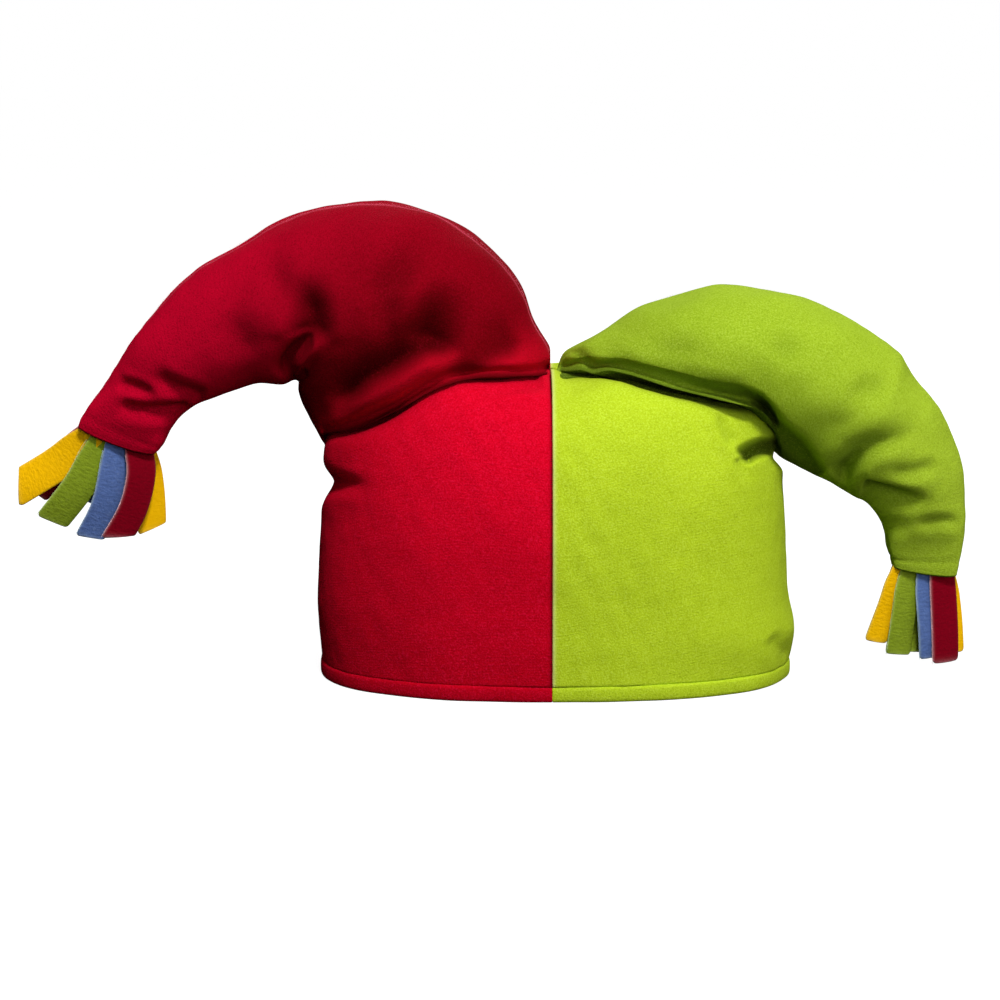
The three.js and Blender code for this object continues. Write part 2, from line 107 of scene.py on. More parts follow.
def ripple(points, wave, seed, parts=20):
    # an even, random waviness with about the given wavelength
    draw = np.random.default_rng(seed)
    ways = unit(draw.normal(size=(parts, 3))) * (2 * math.pi / wave) * draw.uniform(0.7, 1.4, (parts, 1))
    return np.cos(points @ ways.T + draw.uniform(0, 2 * math.pi, parts)).sum(-1) / math.sqrt(parts / 2)


def rolled(away, radius):
    # how far a rolled edge has dropped at a distance from it
    rest = np.clip(radius - away, 0, radius)
    return radius - np.sqrt(radius ** 2 - rest ** 2)


def pathDistance(spots, path):
    # distance to a path in the picture, how far along it, and whether the spot is to the right of it
    start, stretch = path[:-1], path[1:] - path[:-1]
    lengths = np.linalg.norm(stretch, axis=1)
    offset = spots[:, None] - start
    share = np.clip((offset * stretch).sum(-1) / lengths ** 2, 0, 1)
    gap = offset - share[..., None] * stretch
    away = np.linalg.norm(gap, axis=-1)
    nearest = away.argmin(axis=1)
    pick = np.arange(len(spots)), nearest
    begun = np.concatenate([[0], np.cumsum(lengths)])
    along = (begun[nearest] + share[pick] * lengths[nearest]) / begun[-1]
    near, way = offset[pick], stretch[nearest]
    return away[pick], along, way[:, 0] * near[:, 1] - way[:, 1] * near[:, 0] > 0


# dark: the fold depth in mm at which a crease gets its full painted shade
foldShape = {"lipAt": 1.8, "lipWidth": 0.8, "reach": 4.5, "steps": 6, "dark": 12}


def foldPush(points, normals, folds):
    # how far folds move a surface along its normals and along the lines of sight, and how much painted shade each point
    # gets in its crease
    spots = pictureSpots(points)
    toEye = (unit(np.array(eyePlace()) - points) * normals).sum(-1)
    push, back, crease = (np.zeros(points.shape[:-1]) for _ in range(3))
    for fold in folds:
        knots = np.array(fold["path"], float)
        path = smoothRows(knots, np.linspace(0, len(knots) - 1, foldShape["steps"] * (len(knots) - 1) + 1))
        room = foldShape["reach"] * max(fold["left"], fold["right"])
        low, high = path.min(0) - room, path.max(0) + room
        face = {"front": toEye, "back": -toEye, "round": np.ones_like(toEye)}[fold.get("on", "front")]
        near = ((spots > low) & (spots < high)).all(-1) & (face > -0.1)
        if not near.any():
            continue
        away, along, right = pathDistance(spots[near], path)
        u = away / np.where(right, fold["right"], fold["left"])
        first, last = fold.get("ends", (0.3, 0.3))
        deepens = "sight" in fold
        amount = smoothstep(0, first, along) * smoothstep(1, 1 - last, along)
        amount = amount * smoothstep(-0.1, 0 if deepens else 0.3, face[near])
        valley = np.exp(-u ** fold.get("sharp", 1.6))
        lips = fold.get("lips", (0.2, 0.2))
        lip = np.where(right, lips[1], lips[0]) * np.exp(-((u - foldShape["lipAt"]) / foldShape["lipWidth"]) ** 2)
        (back if deepens else push)[near] += fold["depth"] * mm * amount * (lip - valley)
        # painted shade in the valley of each fold, fuller for deeper folds
        crease[near] = np.maximum(crease[near], amount * valley * min(fold["depth"] / foldShape["dark"], 1))
    return push, back, crease


def sheetNormals(grid, wrap=False):
    if wrap:
        across = np.roll(grid, -1, axis=1) - np.roll(grid, 1, axis=1)
    else:
        across = np.gradient(grid, axis=1)
    return unit(np.cross(across, np.gradient(grid, axis=0)))


def makeMesh(name, points, faces, corners, marks):
    # a smooth mesh with its cloth lying flat in the map called cloth, and a number for each point
    mesh = bpy.data.meshes.new(name)
    mesh.from_pydata(points.tolist(), [], faces)
    mesh.shade_smooth()
    layer = mesh.uv_layers.new(name="cloth")
    layer.data.foreach_set("uv", np.concatenate([np.asarray(c, float).ravel() for c in corners]))
    for mark, values in marks.items():
        mesh.attributes.new(mark, "FLOAT", "POINT").data.foreach_set("value", values.astype(np.float32))
    mesh.update()
    if signedVolume(mesh) < 0:
        mesh.flip_normals()
    piece = bpy.data.objects.new(name, mesh)
    bpy.context.collection.objects.link(piece)
    return piece


def signedVolume(mesh):
    mesh.calc_loop_triangles()
    spots = np.empty(len(mesh.vertices) * 3)
    mesh.vertices.foreach_get("co", spots)
    corners = np.empty(len(mesh.loop_triangles) * 3, int)
    mesh.loop_triangles.foreach_get("vertices", corners)
    a, b, c = spots.reshape(-1, 3)[corners.reshape(-1, 3)].transpose(1, 0, 2)
    return (a * np.cross(b, c)).sum() / 6


# Crown: sections from the rim up and over the top. up is a share of the height under the ridge, red,
# green and depth are shares of the half width on each side and of the half depth.
crown = {
    "width": 214 * mm,
    "depth": 136 * mm,
    "height": 144 * mm,
    "corner": 2.35,
    "wall": 3 * mm,
    "seamGap": 0.01 * mm,
    "seamRoll": 0.8 * mm,
    "rimRoll": 0.9 * mm,
    "rows": 235,
    "columns": 270,
    "innerStep": 3,
    "grooveDepth": 7 * mm,
    "grooveWidth": 4.5 * mm,
    "backGroove": 0.3,
    "underHorn": 0.7,
    "seamHold": (1 * mm, 7 * mm),
    "lumps": (0.3 * mm, 42 * mm),
    "ripples": (0.07 * mm, 11 * mm),
    "sections": [  # up, red, green, depth
        (0, 0.965, 1.01, 1),
        (0.12, 0.975, 1.032, 1),
        (0.25, 0.98, 1.005, 0.99),
        (0.45, 0.965, 0.985, 0.98),
        (0.6, 0.945, 0.975, 0.95),
        (0.73, 0.945, 0.965, 0.89),
        (0.84, 0.955, 0.94, 0.79),
        (0.92, 0.93, 0.89, 0.65),
        (0.97, 0.8, 0.76, 0.47),
        (1, 0.5, 0.48, 0.26),
        (1, 0.1, 0.1, 0.05),
    ],
    "crest": [  # red, green: height of the ridge from the centre seam to the side
        (0.95, 0.95),
        (0.985, 0.98),
        (1.01, 1),
        (0.98, 1),
        (0.93, 0.97),
        (0.86, 0.9),
    ],
}

# The fold in which each horn rises from the crown: x and y in the picture, and how deep it is there
creases = {
    "red": [
        (306, 433, 0.3),
        (320, 431, 0.4),
        (340, 428, 0.8),
        (360, 421, 1),
        (380, 412, 1),
        (397, 404, 0.75),
        (410, 396, 0.5),
        (425, 387, 0.35),
        (440, 380, 0.3),
        (455, 375, 0.35),
        (470, 373, 0.4),
        (487, 371, 0.5),
        (502, 370, 0.6),
        (520, 371, 0.45),
        (538, 370, 0.45),
        (556, 367, 0.45),
    ],
    "green": [
        (548, 367, 0.5),
        (575, 364, 0.7),
        (601, 364, 1),
        (620, 367, 1),
        (640, 373, 1),
        (660, 379, 1),
        (680, 385, 1),
        (700, 390, 1),
        (720, 394, 1),
        (740, 398, 0.9),
        (754, 400, 0.8),
        (764, 405, 0.6),
        (771, 413, 0.5),
        (777, 425, 0.4),
        (781, 441, 0.3),
    ],
}

crownFolds = {
    "red": [
        {"on": "round", "path": [(290, 477), (360, 486)], "depth": 7, "left": 11, "right": 14, "ends": (0.02, 0.9)},
        {"path": [(318, 480), (350, 484), (378, 486)], "depth": 2.2, "left": 7, "right": 9, "ends": (0.1, 0.6)},
        {"path": [(462, 399), (500, 391), (546, 381)], "depth": 1.3, "left": 8, "right": 7, "ends": (0.4, 0.1)},
        {"path": [(470, 410), (508, 406), (545, 400)], "depth": 0.6, "left": 6, "right": 6},
        {"on": "back", "path": [(330, 470), (420, 455)], "depth": 2, "left": 12, "right": 12, "ends": (0.1, 0.7)},
        {"on": "back", "path": [(360, 600), (420, 640)], "depth": 1, "left": 16, "right": 16},
    ],
    "green": [
        {"on": "round", "path": [(800, 455), (776, 457), (762, 459)], "depth": 3, "left": 8, "right": 10,
         "ends": (0.02, 0.6)},
        {"path": [(790, 443), (772, 446), (761, 448), (752, 451), (745, 455), (740, 459)], "depth": 15, "left": 8,
         "right": 8, "ends": (0, 0.1), "sharp": 3.5, "lips": (0, 0), "sight": True},
        {"path": [(720, 408), (728, 430), (738, 449)], "depth": 1.8, "left": 5, "right": 7, "lips": (0.1, 0.4)},
        {"path": [(739, 457), (744, 468), (750, 484)], "depth": 1.6, "left": 5, "right": 6, "ends": (0.1, 0.8)},
        {"path": [(770, 634), (792, 660)], "depth": 1.4, "left": 10, "right": 10},
        {"path": [(560, 392), (580, 384), (602, 386)], "depth": 0.6, "left": 7, "right": 7},
        {"on": "back", "path": [(770, 440), (700, 425)], "depth": 2.5, "left": 12, "right": 12, "ends": (0.1, 0.7)},
        {"on": "back", "path": [(610, 640), (680, 610)], "depth": 1, "left": 16, "right": 16},
    ],
}


def crestHeight(across, side):
    rows = crown["crest"]
    place = np.minimum(across / (crown["width"] / 2), 1) * (len(rows) - 1)
    column = 0 if side == "red" else 1
    return crown["height"] * smoothRows(rows, place.ravel())[:, column].reshape(across.shape)


def crownRings(side, places, angles):
    # half rings of the crown from the front of the centre seam round its side to the back
    up, red, green, depth = smoothRows(crown["sections"], places).T[:, :, None]
    share = red if side == "red" else green
    across = crown["width"] / 2 * share * bend(np.cos(angles), crown["corner"])
    back = crown["depth"] / 2 * depth * bend(np.sin(angles), crown["corner"])
    height = wallFoot + up * (crestHeight(across, side) - wallFoot)
    return np.stack([seamX + sides[side] * across, back, height], axis=-1)


def edgedSteps(count, edge, length, both=True):
    # shares from 0 to 1 with close steps where an edge is rolled
    near = np.array([0, 0.08, 0.2, 0.4, 0.65, 1, 1.5, 2.2, 3.2]) * edge / length
    far = 1 - near[:-1][::-1] if both else np.array([])
    return np.concatenate([near[:-1], np.linspace(near[-1], 1 - near[-1] if both else 1, count), far])


def evenPlaces(rings, places, shares):
    # places in a table such that the rings there are evenly far apart
    steps = np.linalg.norm(np.diff(rings, axis=0), axis=-1).mean(axis=1)
    length = np.concatenate([[0], np.cumsum(steps)])
    return np.interp(shares * length[-1], length, places), length[-1]


def resampled(rings, shares):
    # each ring again, with its points at shares of its length
    steps = np.linalg.norm(np.diff(rings, axis=1), axis=-1)
    length = np.concatenate([np.zeros((len(rings), 1)), np.cumsum(steps, axis=1)], axis=1)
    along = shares[None] * length[:, -1:]
    out = np.empty((len(rings), len(shares), 3))
    for i, ring in enumerate(rings):
        for axis in range(3):
            out[i, :, axis] = np.interp(along[i], length[i], ring[:, axis])
    return out, along, length[:, -1:]


def crownBase(side):
    dense = np.linspace(-math.pi / 2, math.pi / 2, 721)
    last = len(crown["sections"]) - 1
    fine = np.linspace(0, last, 400)
    shares = edgedSteps(crown["rows"], crown["rimRoll"], crown["height"], both=False)
    places, height = evenPlaces(crownRings(side, fine, dense[::24]), fine, shares)
    columns = edgedSteps(crown["columns"], crown["seamRoll"], crown["width"] * 1.33)
    grid, along, length = resampled(crownRings(side, places, dense), columns)
    facing = sheetNormals(grid) * sides[side]
    return {
        "grid": grid,
        "facing": facing,
        "around": along,
        "up": shares * height,
        "seamAway": np.minimum(along, length - along),
    }


def crownTop(side):
    return np.array([seamX + sides[side] * crown["seamGap"], 0, crestHeight(np.zeros(1), side)[0]])


def crownShell(bases):
    # the crown's plain outer surface on both sides, to find where something meets it
    points, faces = [], []
    for side, base in bases.items():
        rows, columns = base["grid"].shape[:2]
        first = len(points)
        points += base["grid"].reshape(-1, 3).tolist() + [crownTop(side).tolist()]
        at = lambda r, c: first + r * columns + c
        around = [(at(r, c), at(r, c + 1), at(r + 1, c + 1), at(r + 1, c))
                  for r in range(rows - 1) for c in range(columns - 1)]
        around += [(at(rows - 1, c), at(rows - 1, c + 1), at(rows, 0)) for c in range(columns - 1)]
        faces += around if side == "green" else [face[::-1] for face in around]
    return BVHTree.FromPolygons(points, faces)


def heightAbove(tree, points):
    # signed distance to a shell, and the nearest places on it with their normals
    flat = points.reshape(-1, 3)
    found = [tree.find_nearest(p) for p in flat.tolist()]
    spot = np.array([f[0] for f in found])
    facing = np.array([f[1] for f in found])
    above = ((flat - spot) * facing).sum(1)
    shape = points.shape
    return above.reshape(shape[:-1]), spot.reshape(shape), facing.reshape(shape)


def finishCrown(side, base, rim):
    # presses the folds in, sinks the crown under its horn, rolls the edges and adds the inner wall; the folds and the
    # sunk groove also get painted shade
    grid, facing = base["grid"].copy(), base["facing"]
    flat = grid.reshape(-1, 3)
    push, back, crease = foldPush(flat, facing.reshape(-1, 3), crownFolds[side])
    shape = grid.shape[:2]
    lump, ripples = crown["lumps"], crown["ripples"]
    push = push + lump[0] * ripple(flat, lump[1], 11) + ripples[0] * ripple(flat, ripples[1], 12)
    away, under = rimAway(flat, rim)
    behind = np.where(under, 1, np.exp(-(away / crown["grooveWidth"]) ** 2)) * crown["backGroove"]
    above, share = aboveCrease(side, flat)
    ahead = np.where(above > 0, 1, np.exp(-np.clip(-above / crown["grooveWidth"], 0, 9) ** 1.6)) * share
    ahead = ahead + crown["underHorn"] * smoothstep(1 * mm, 7 * mm, above)
    toEye = unit(np.array(eyePlace()) - flat)
    frontness = smoothstep(-0.05, 0.3, (toEye * facing.reshape(-1, 3)).sum(-1))
    back = (toEye * back[:, None]).reshape(grid.shape)
    sunk = (behind + (ahead - behind) * frontness) * smoothstep(*crown["seamHold"], np.abs(flat[:, 0] - seamX))
    push = (push - crown["grooveDepth"] * sunk).reshape(shape)
    # painted shade in the folds and in the groove under the horn
    crease = np.maximum(crease, sunk).reshape(shape)
    inner = grid + back + facing * (push - crown["wall"])[..., None]
    edge = rolled(base["seamAway"], crown["seamRoll"]) + rolled(base["up"][:, None], crown["rimRoll"])
    outer = grid + back + facing * (push - edge)[..., None]
    gap = crown["seamGap"]
    for sheet in (outer, inner):
        sheet[..., 0] = seamX + sides[side] * np.maximum((sheet[..., 0] - seamX) * sides[side], gap)
    return outer, inner, crease


def aboveCrease(side, points):
    # how far a point is above its horn's fold in the picture, in metres, and how deep the fold is there
    spots = pictureSpots(points)
    x, y, share = np.array(creases[side], float).T
    above = np.interp(spots[..., 0], x, y) - spots[..., 1]
    return above * view["distance"] * view["sensor"] / view["lens"] / pictureWidth, np.interp(spots[..., 0], x, share)


def rimAway(points, rim):
    # distance to the line where the horn meets the crown, and whether a point is under the horn
    above, _, _ = heightAbove(rim["horn"], points)
    line = rim["line"]
    away = np.full(len(points), 1.0)
    for start in range(0, len(points), 4000):
        part = points[start:start + 4000]
        away[start:start + 4000] = np.linalg.norm(part[:, None] - line[None], axis=-1).min(axis=1)
    return away, above < 0


def crownPiece(side, base, outer, inner, crease):
    # the outer sheet in full, the inner one with fewer rows and columns, and strips that join their edges
    rows, columns = outer.shape[:2]
    step = crown["innerStep"]
    rowsIn = sorted({*range(0, rows, step), rows - 1})
    columnsIn = sorted({*range(0, columns, step), columns - 1})
    inner = inner[np.ix_(rowsIn, columnsIn)]
    count, wide = rows * columns, len(columnsIn)
    tops = [crownTop(side) - np.array([0, 0, drop]) for drop in (0, crown["wall"])]
    points = np.concatenate([outer.reshape(-1, 3), inner.reshape(-1, 3), tops])
    poleO, poleI = len(points) - 2, len(points) - 1
    o = lambda r, c: r * columns + c
    i = lambda r, c: count + r * wide + c
    last, top, lastIn, topIn = columns - 1, rows - 1, wide - 1, len(rowsIn) - 1
    faces = [(o(r, c), o(r, c + 1), o(r + 1, c + 1), o(r + 1, c)) for r in range(top) for c in range(last)]
    faces += [(i(r, c), i(r + 1, c), i(r + 1, c + 1), i(r, c + 1)) for r in range(topIn) for c in range(lastIn)]
    for k in range(lastIn):
        edge = [o(0, c) for c in range(columnsIn[k + 1], columnsIn[k] - 1, -1)]
        faces.append((*edge, i(0, k), i(0, k + 1)))
    for k in range(topIn):
        span = range(rowsIn[k], rowsIn[k + 1] + 1)
        faces.append((*[o(r, 0) for r in span], i(k + 1, 0), i(k, 0)))
        faces.append((*[o(r, last) for r in reversed(span)], i(k, lastIn), i(k + 1, lastIn)))
    faces += [(o(top, c), o(top, c + 1), poleO) for c in range(last)]
    faces += [(i(topIn, c + 1), i(topIn, c), poleI) for c in range(lastIn)]
    faces += [(o(top, 0), poleO, poleI, i(topIn, 0)), (poleO, o(top, last), i(topIn, lastIn), poleI)]
    around = base["around"]
    up = np.broadcast_to(base["up"][:, None], around.shape)
    flat = np.stack([around, up], axis=-1)
    ends = [[0, base["up"][-1]]] * 2
    flat = np.concatenate([flat.reshape(-1, 2), flat[np.ix_(rowsIn, columnsIn)].reshape(-1, 2), ends])
    corners = [flat[list(face)] for face in faces]
    seam = np.exp(-(base["seamAway"] / (1.2 * mm)) ** 2).ravel()
    # the crease mark is painted shade, full at the poles
    creaseShadeIn = crease[np.ix_(rowsIn, columnsIn)].ravel()
    marks = {
        "crease": np.concatenate([crease.ravel(), creaseShadeIn, [1, 1]]),
        "seam": np.concatenate([seam, creaseShadeIn * 0, [0, 0]]),
    }
    return makeMesh(f"crown_{side}_cloth", points, faces, corners, marks)


# Rolled band under the crown's wall
band = {
    "height": bandTop + 0.5 * mm,
    "wall": 4 * mm,
    "square": 3.6,
    "steps": 20,
    "endRoll": 0.5 * mm,
    "wave": (0.22 * mm, 26 * mm),
}


def rimBand(side, base):
    foot = base["grid"][0]
    columns = len(foot)
    along = np.gradient(foot[:, :2], axis=0)
    outward = unit(np.stack([along[:, 1], -along[:, 0]], axis=-1)) * sides[side]
    turn = np.linspace(0, 2 * math.pi, band["steps"], endpoint=False)
    wave = band["wave"][0] * ripple(foot, band["wave"][1], 21)
    ends = 1 - rolled(base["seamAway"][0], band["endRoll"]) / (band["height"] / 2)
    out = bend(np.cos(turn), band["square"])[None] * (band["wall"] / 2) * ends[:, None]
    middle = (-crown["wall"] / 2 + wave)[:, None]
    up = band["height"] / 2 * (1 + bend(np.sin(turn), band["square"])[None] * ends[:, None])
    points = np.empty((columns, band["steps"], 3))
    points[..., :2] = foot[:, None, :2] + outward[:, None] * (middle + out)[..., None]
    points[..., 2] = up
    points[..., 0] = seamX + sides[side] * np.maximum((points[..., 0] - seamX) * sides[side], crown["seamGap"])
    around = base["around"][0]
    girth = np.arange(band["steps"] + 1) / band["steps"] * 2 * (band["height"] + band["wall"])
    return tubePiece(f"rim_band_{side}_roll", points, around, girth)


def tubePiece(name, rings, along, girth, marks=None):
    # a closed body through rings, with a fan on each end; along is the cloth's length at each ring
    rows, columns = rings.shape[:2]
    ends = [rings[0].mean(axis=0), rings[-1].mean(axis=0)]
    points = np.concatenate([rings.reshape(-1, 3), ends])
    first, last = rows * columns, rows * columns + 1
    at = lambda r, c: r * columns + c % columns
    girth = np.broadcast_to(girth, (rows, columns + 1))
    along = np.broadcast_to(np.asarray(along)[:, None] if np.ndim(along) == 1 else along, (rows, columns + 1))
    flat = np.stack([girth, along], axis=-1)
    faces, corners = [], []
    for r in range(rows - 1):
        for c in range(columns):
            faces.append((at(r, c), at(r, c + 1), at(r + 1, c + 1), at(r + 1, c)))
            corners.append(flat[[r, r, r + 1, r + 1], [c, c + 1, c + 1, c]])
    for c in range(columns):
        faces.append((at(0, c + 1), at(0, c), first))
        corners.append(flat[[0, 0, 0], [c + 1, c, c]])
        faces.append((at(rows - 1, c), at(rows - 1, c + 1), last))
        corners.append(flat[[rows - 1] * 3, [c, c + 1, c]])
    marks = {name: np.concatenate([values.ravel(), [values[0, 0], values[-1, 0]]]) for name, values in (marks or {}).items()}
    return makeMesh(name, points, faces, corners, marks)


# Horns: sections from the root to the tip, each from the inner line of the bend to the outer one. in
# and out are shares of the crown's half width up to 1 and of the reach past it, inUp and outUp are
# shares of the rise above the crown's top or of the drop below it.
horns = {
    "red": {
        "reach": 104 * mm,
        "rise": 69 * mm,
        "drop": 44 * mm,
        "depth": 98 * mm,
        "seamTurn": -9,
        "bulge": 1.8 * mm,
        "overhang": {"width": 2.4 * mm, "sharp": 1.3, "lift": 3.5 * mm, "ease": 2 * mm, "slope": 0.2, "reach": 15 * mm},
        "sections": [  # in, inUp, out, outUp, depth, lean, square
            (0.92, -1.11, 0, -0.5, 0.8, 0, 2),
            (0.98, -0.75, -0.02, -0.07, 0.85, 0, 2),
            (1.03, -0.52, 0.07, 0.22, 0.95, 0, 2),
            (1.05, -0.39, 0.135, 0.47, 1, 0, 2.1),
            (1.05, -0.32, 0.31, 0.75, 1, 0, 2.1),
            (1.05, -0.28, 0.58, 0.95, 0.94, 0, 2.1),
            (1.07, -0.28, 0.89, 0.95, 0.86, 0, 2),
            (1.12, -0.33, 1.12, 0.85, 0.76, -0.02, 2),
            (1.23, -0.32, 1.36, 0.65, 0.64, -0.05, 2),
            (1.35, -0.39, 1.56, 0.44, 0.52, -0.08, 2),
            (1.46, -0.49, 1.69, 0.22, 0.4, -0.12, 2),
            (1.54, -0.6, 1.79, 0.03, 0.28, -0.16, 2.1),
            (1.6, -0.77, 1.88, -0.3, 0.16, -0.2, 2.4),
            (1.64, -0.95, 1.97, -0.58, 0.05, -0.24, 4),
            (1.67, -1.01, 2, -0.72, 0, -0.26, 6),
        ],
    },
    "green": {
        "reach": 80 * mm,
        "rise": 30 * mm,
        "drop": 100 * mm,
        "depth": 92 * mm,
        "seamTurn": 14,
        "bulge": 1 * mm,
        "overhang": {"width": 2.4 * mm, "sharp": 1.5, "lift": 3 * mm, "ease": 2 * mm, "slope": 0.3, "reach": 16 * mm},
        "sections": [
            (0.86, -0.48, 0, -0.2, 0.78, 0, 2),
            (0.93, -0.32, 0.04, -0.04, 0.82, 0, 2),
            (0.93, -0.34, 0.16, 0.2, 0.9, 0, 2),
            (0.93, -0.37, 0.37, 0.67, 0.97, 0, 2.1),
            (0.93, -0.4, 0.61, 0.94, 1, 0, 2.1),
            (0.94, -0.43, 0.82, 0.97, 1, 0, 2.1),
            (0.97, -0.47, 1.03, 0.86, 0.97, 0, 2),
            (1.04, -0.51, 1.27, 0.59, 0.92, 0, 2),
            (1.15, -0.55, 1.48, 0.24, 0.84, 0, 2),
            (1.26, -0.59, 1.65, -0.05, 0.75, 0.02, 2),
            (1.36, -0.64, 1.81, -0.22, 0.64, 0.04, 2),
            (1.45, -0.68, 1.91, -0.37, 0.53, 0.06, 2),
            (1.51, -0.73, 1.98, -0.53, 0.42, 0.08, 2),
            (1.55, -0.8, 2, -0.68, 0.3, 0.1, 2.2),
            (1.57, -0.88, 1.99, -0.84, 0.12, 0.12, 4),
            (1.6, -0.96, 1.96, -1, 0, 0.13, 6),
        ],
    },
}

hornShape = {
    "rows": 250,
    "columns": 200,
    "baseRoll": 7 * mm,
    "baseRows": 8,
    "rootRows": 150,
    # how far the horn's root tone reaches from the crown; on the red horn it is painted light
    "rootLight": 13 * mm,
    "tuck": 1.5 * mm,
    "root": 7 * mm,
    "smoothing": 3,
    "gap": 0.3 * mm,
    "tipWall": 2 * mm,
    "mouth": 8 * mm,
    "hemAt": 5 * mm,
    "lumps": (0.4 * mm, 34 * mm),
    "ripples": (0.06 * mm, 9 * mm),
}

hornFolds = {
    "red": [
        # shoulder dent and the hollow under it
        {"path": [(424, 222), (411, 250), (398, 274), (387, 290), (386, 310), (380, 328), (366, 340)],
         "depth": 4.5, "left": 15, "right": 15, "sharp": 1.8, "ends": (0.45, 0.3)},
        {"path": [(456, 276), (446, 298), (436, 316), (422, 345)], "depth": 8, "left": 26, "right": 17, "sharp": 1.8,
         "ends": (0.7, 0.1)},
        # root valley, an arch over a puffy roll
        {"path": [(326, 414), (345, 397), (365, 378), (385, 368), (405, 356), (420, 348), (435, 346), (450, 350),
                  (466, 357)], "depth": 12, "left": 24, "right": 9, "sharp": 1.5, "ends": (0.25, 0.2), "lips": (0, 0.1),
         "sight": True},
        {"path": [(338, 418), (362, 405), (385, 395), (405, 383), (425, 369), (446, 359)], "depth": -3, "left": 8,
         "right": 9, "sharp": 2, "ends": (0.25, 0.2), "lips": (0, 0), "sight": True},
        # second valley and the pocket beside the centre seam
        {"path": [(437, 367), (458, 371), (475, 366), (490, 358), (504, 352), (516, 346), (528, 339)],
         "depth": 8, "left": 24, "right": 9, "sharp": 1.5, "ends": (0.25, 0.25), "lips": (0, 0.15), "sight": True},
        # inner bend
        {"path": [(300, 268), (305, 292), (308, 318), (307, 342)], "depth": 8, "left": 17, "right": 15, "sharp": 1.8,
         "ends": (0.6, 0.1)},
        {"path": [(311, 336), (300, 350), (290, 363), (283, 379)], "depth": 8, "left": 6, "right": 9, "ends": (0.2, 0.2),
         "lips": (0.3, 0)},
        {"path": [(306, 372), (300, 375), (286, 386)], "depth": 2.5, "left": 5, "right": 6, "ends": (0.1, 0.5)},
        # along the arm
        {"path": [(255, 250), (268, 260), (277, 280), (281, 305), (283, 330)], "depth": 2, "left": 14, "right": 12,
         "sharp": 1.8, "ends": (0.5, 0.4)},
        {"path": [(220, 308), (238, 333), (254, 366)], "depth": 2.4, "left": 16, "right": 16, "sharp": 1.8,
         "ends": (0.5, 0.4)},
        {"path": [(116, 381), (138, 388), (158, 398)], "depth": 2.4, "left": 5, "right": 7, "ends": (0.15, 0.4)},
        {"path": [(150, 373), (175, 387), (206, 397)], "depth": 2.6, "left": 8, "right": 7, "ends": (0.3, 0.1)},
        {"path": [(114, 405), (135, 409), (160, 411), (194, 407)], "depth": 3.2, "left": 6, "right": 8, "ends": (0.2, 0.15)},
        {"on": "back", "path": [(360, 395), (430, 350), (520, 330)], "depth": 6, "left": 13, "right": 13},
        {"on": "back", "path": [(400, 240), (415, 280), (400, 320)], "depth": 3, "left": 16, "right": 16, "sharp": 2},
        {"on": "back", "path": [(120, 390), (160, 398), (200, 392)], "depth": 2, "left": 7, "right": 7},
        {"on": "back", "path": [(250, 290), (262, 320), (262, 350)], "depth": 2.5, "left": 14, "right": 14, "sharp": 2},
    ],
    "green": [
        # under the belly at the root
        {"path": [(572, 351), (582, 358), (592, 368), (602, 374)], "depth": 3.5, "left": 5, "right": 5, "ends": (0.2, 0.2)},
        {"path": [(600, 356), (640, 368), (680, 379), (720, 389), (754, 396)], "depth": 2.5, "left": 10, "right": 6,
         "ends": (0.15, 0.1)},
        # the front lobe lies over the back one
        {"path": [(752, 396), (767, 408), (780, 424), (800, 443), (812, 458), (824, 474)], "depth": 10, "left": 4,
         "right": 34, "sharp": 1.9, "ends": (0.15, 0.05), "lips": (0, 0), "sight": True},
        # elbow and wrist
        {"path": [(838, 480), (850, 466), (866, 452), (892, 441), (926, 427)], "depth": 6, "left": 13, "right": 8,
         "sharp": 1.5, "ends": (0.05, 0.65)},
        {"path": [(886, 477), (912, 472), (944, 465)], "depth": 1.6, "left": 7, "right": 7, "sharp": 2},
        {"path": [(862, 488), (885, 494), (912, 499), (940, 503)], "depth": 6.5, "left": 7, "right": 9, "ends": (0.02, 0.7)},
        {"path": [(912, 527), (935, 522), (964, 521)], "depth": 1.8, "left": 6, "right": 7},
        # soft hollows of the belly
        {"path": [(628, 352), (660, 352), (690, 348), (716, 340)], "depth": 2, "left": 14, "right": 26, "sharp": 1.8,
         "ends": (0.5, 0.5)},
        {"path": [(768, 360), (784, 350), (812, 338)], "depth": 2.4, "left": 13, "right": 15, "sharp": 1.8,
         "ends": (0.5, 0.5)},
        {"path": [(840, 404), (870, 390), (905, 382)], "depth": 1.8, "left": 12, "right": 12, "sharp": 1.8,
         "ends": (0.5, 0.5)},
        {"path": [(790, 424), (830, 428), (876, 414)], "depth": 1.2, "left": 14, "right": 14, "sharp": 1.8,
         "ends": (0.5, 0.5)},
        {"on": "back", "path": [(600, 362), (680, 385), (755, 400)], "depth": 5, "left": 11, "right": 11},
        {"on": "back", "path": [(860, 470), (890, 445), (930, 430)], "depth": 3.5, "left": 10, "right": 10},
        {"on": "back", "path": [(720, 330), (760, 350), (820, 350)], "depth": 2.2, "left": 16, "right": 16, "sharp": 2},
        {"on": "back", "path": [(880, 500), (930, 505)], "depth": 2.5, "left": 8, "right": 8},
    ],
}


def hornSpot(side, out, up):
    form, half = horns[side], crown["width"] / 2
    across = np.where(out <= 1, out * half, half + (out - 1) * form["reach"])
    return seamX + sides[side] * across, crown["height"] + up * np.where(up >= 0, form["rise"], form["drop"])


tassel = {
    "length": 46 * mm,
    "width": 13.5 * mm,
    "rootWidth": 9.5 * mm,
    "thickness": 1.7 * mm,
    "root": 6 * mm,
    "straight": 3 * mm,
    "roll": {"red": -16, "green": 16},
    "inLayer": 4,
    "lean": 16,
}


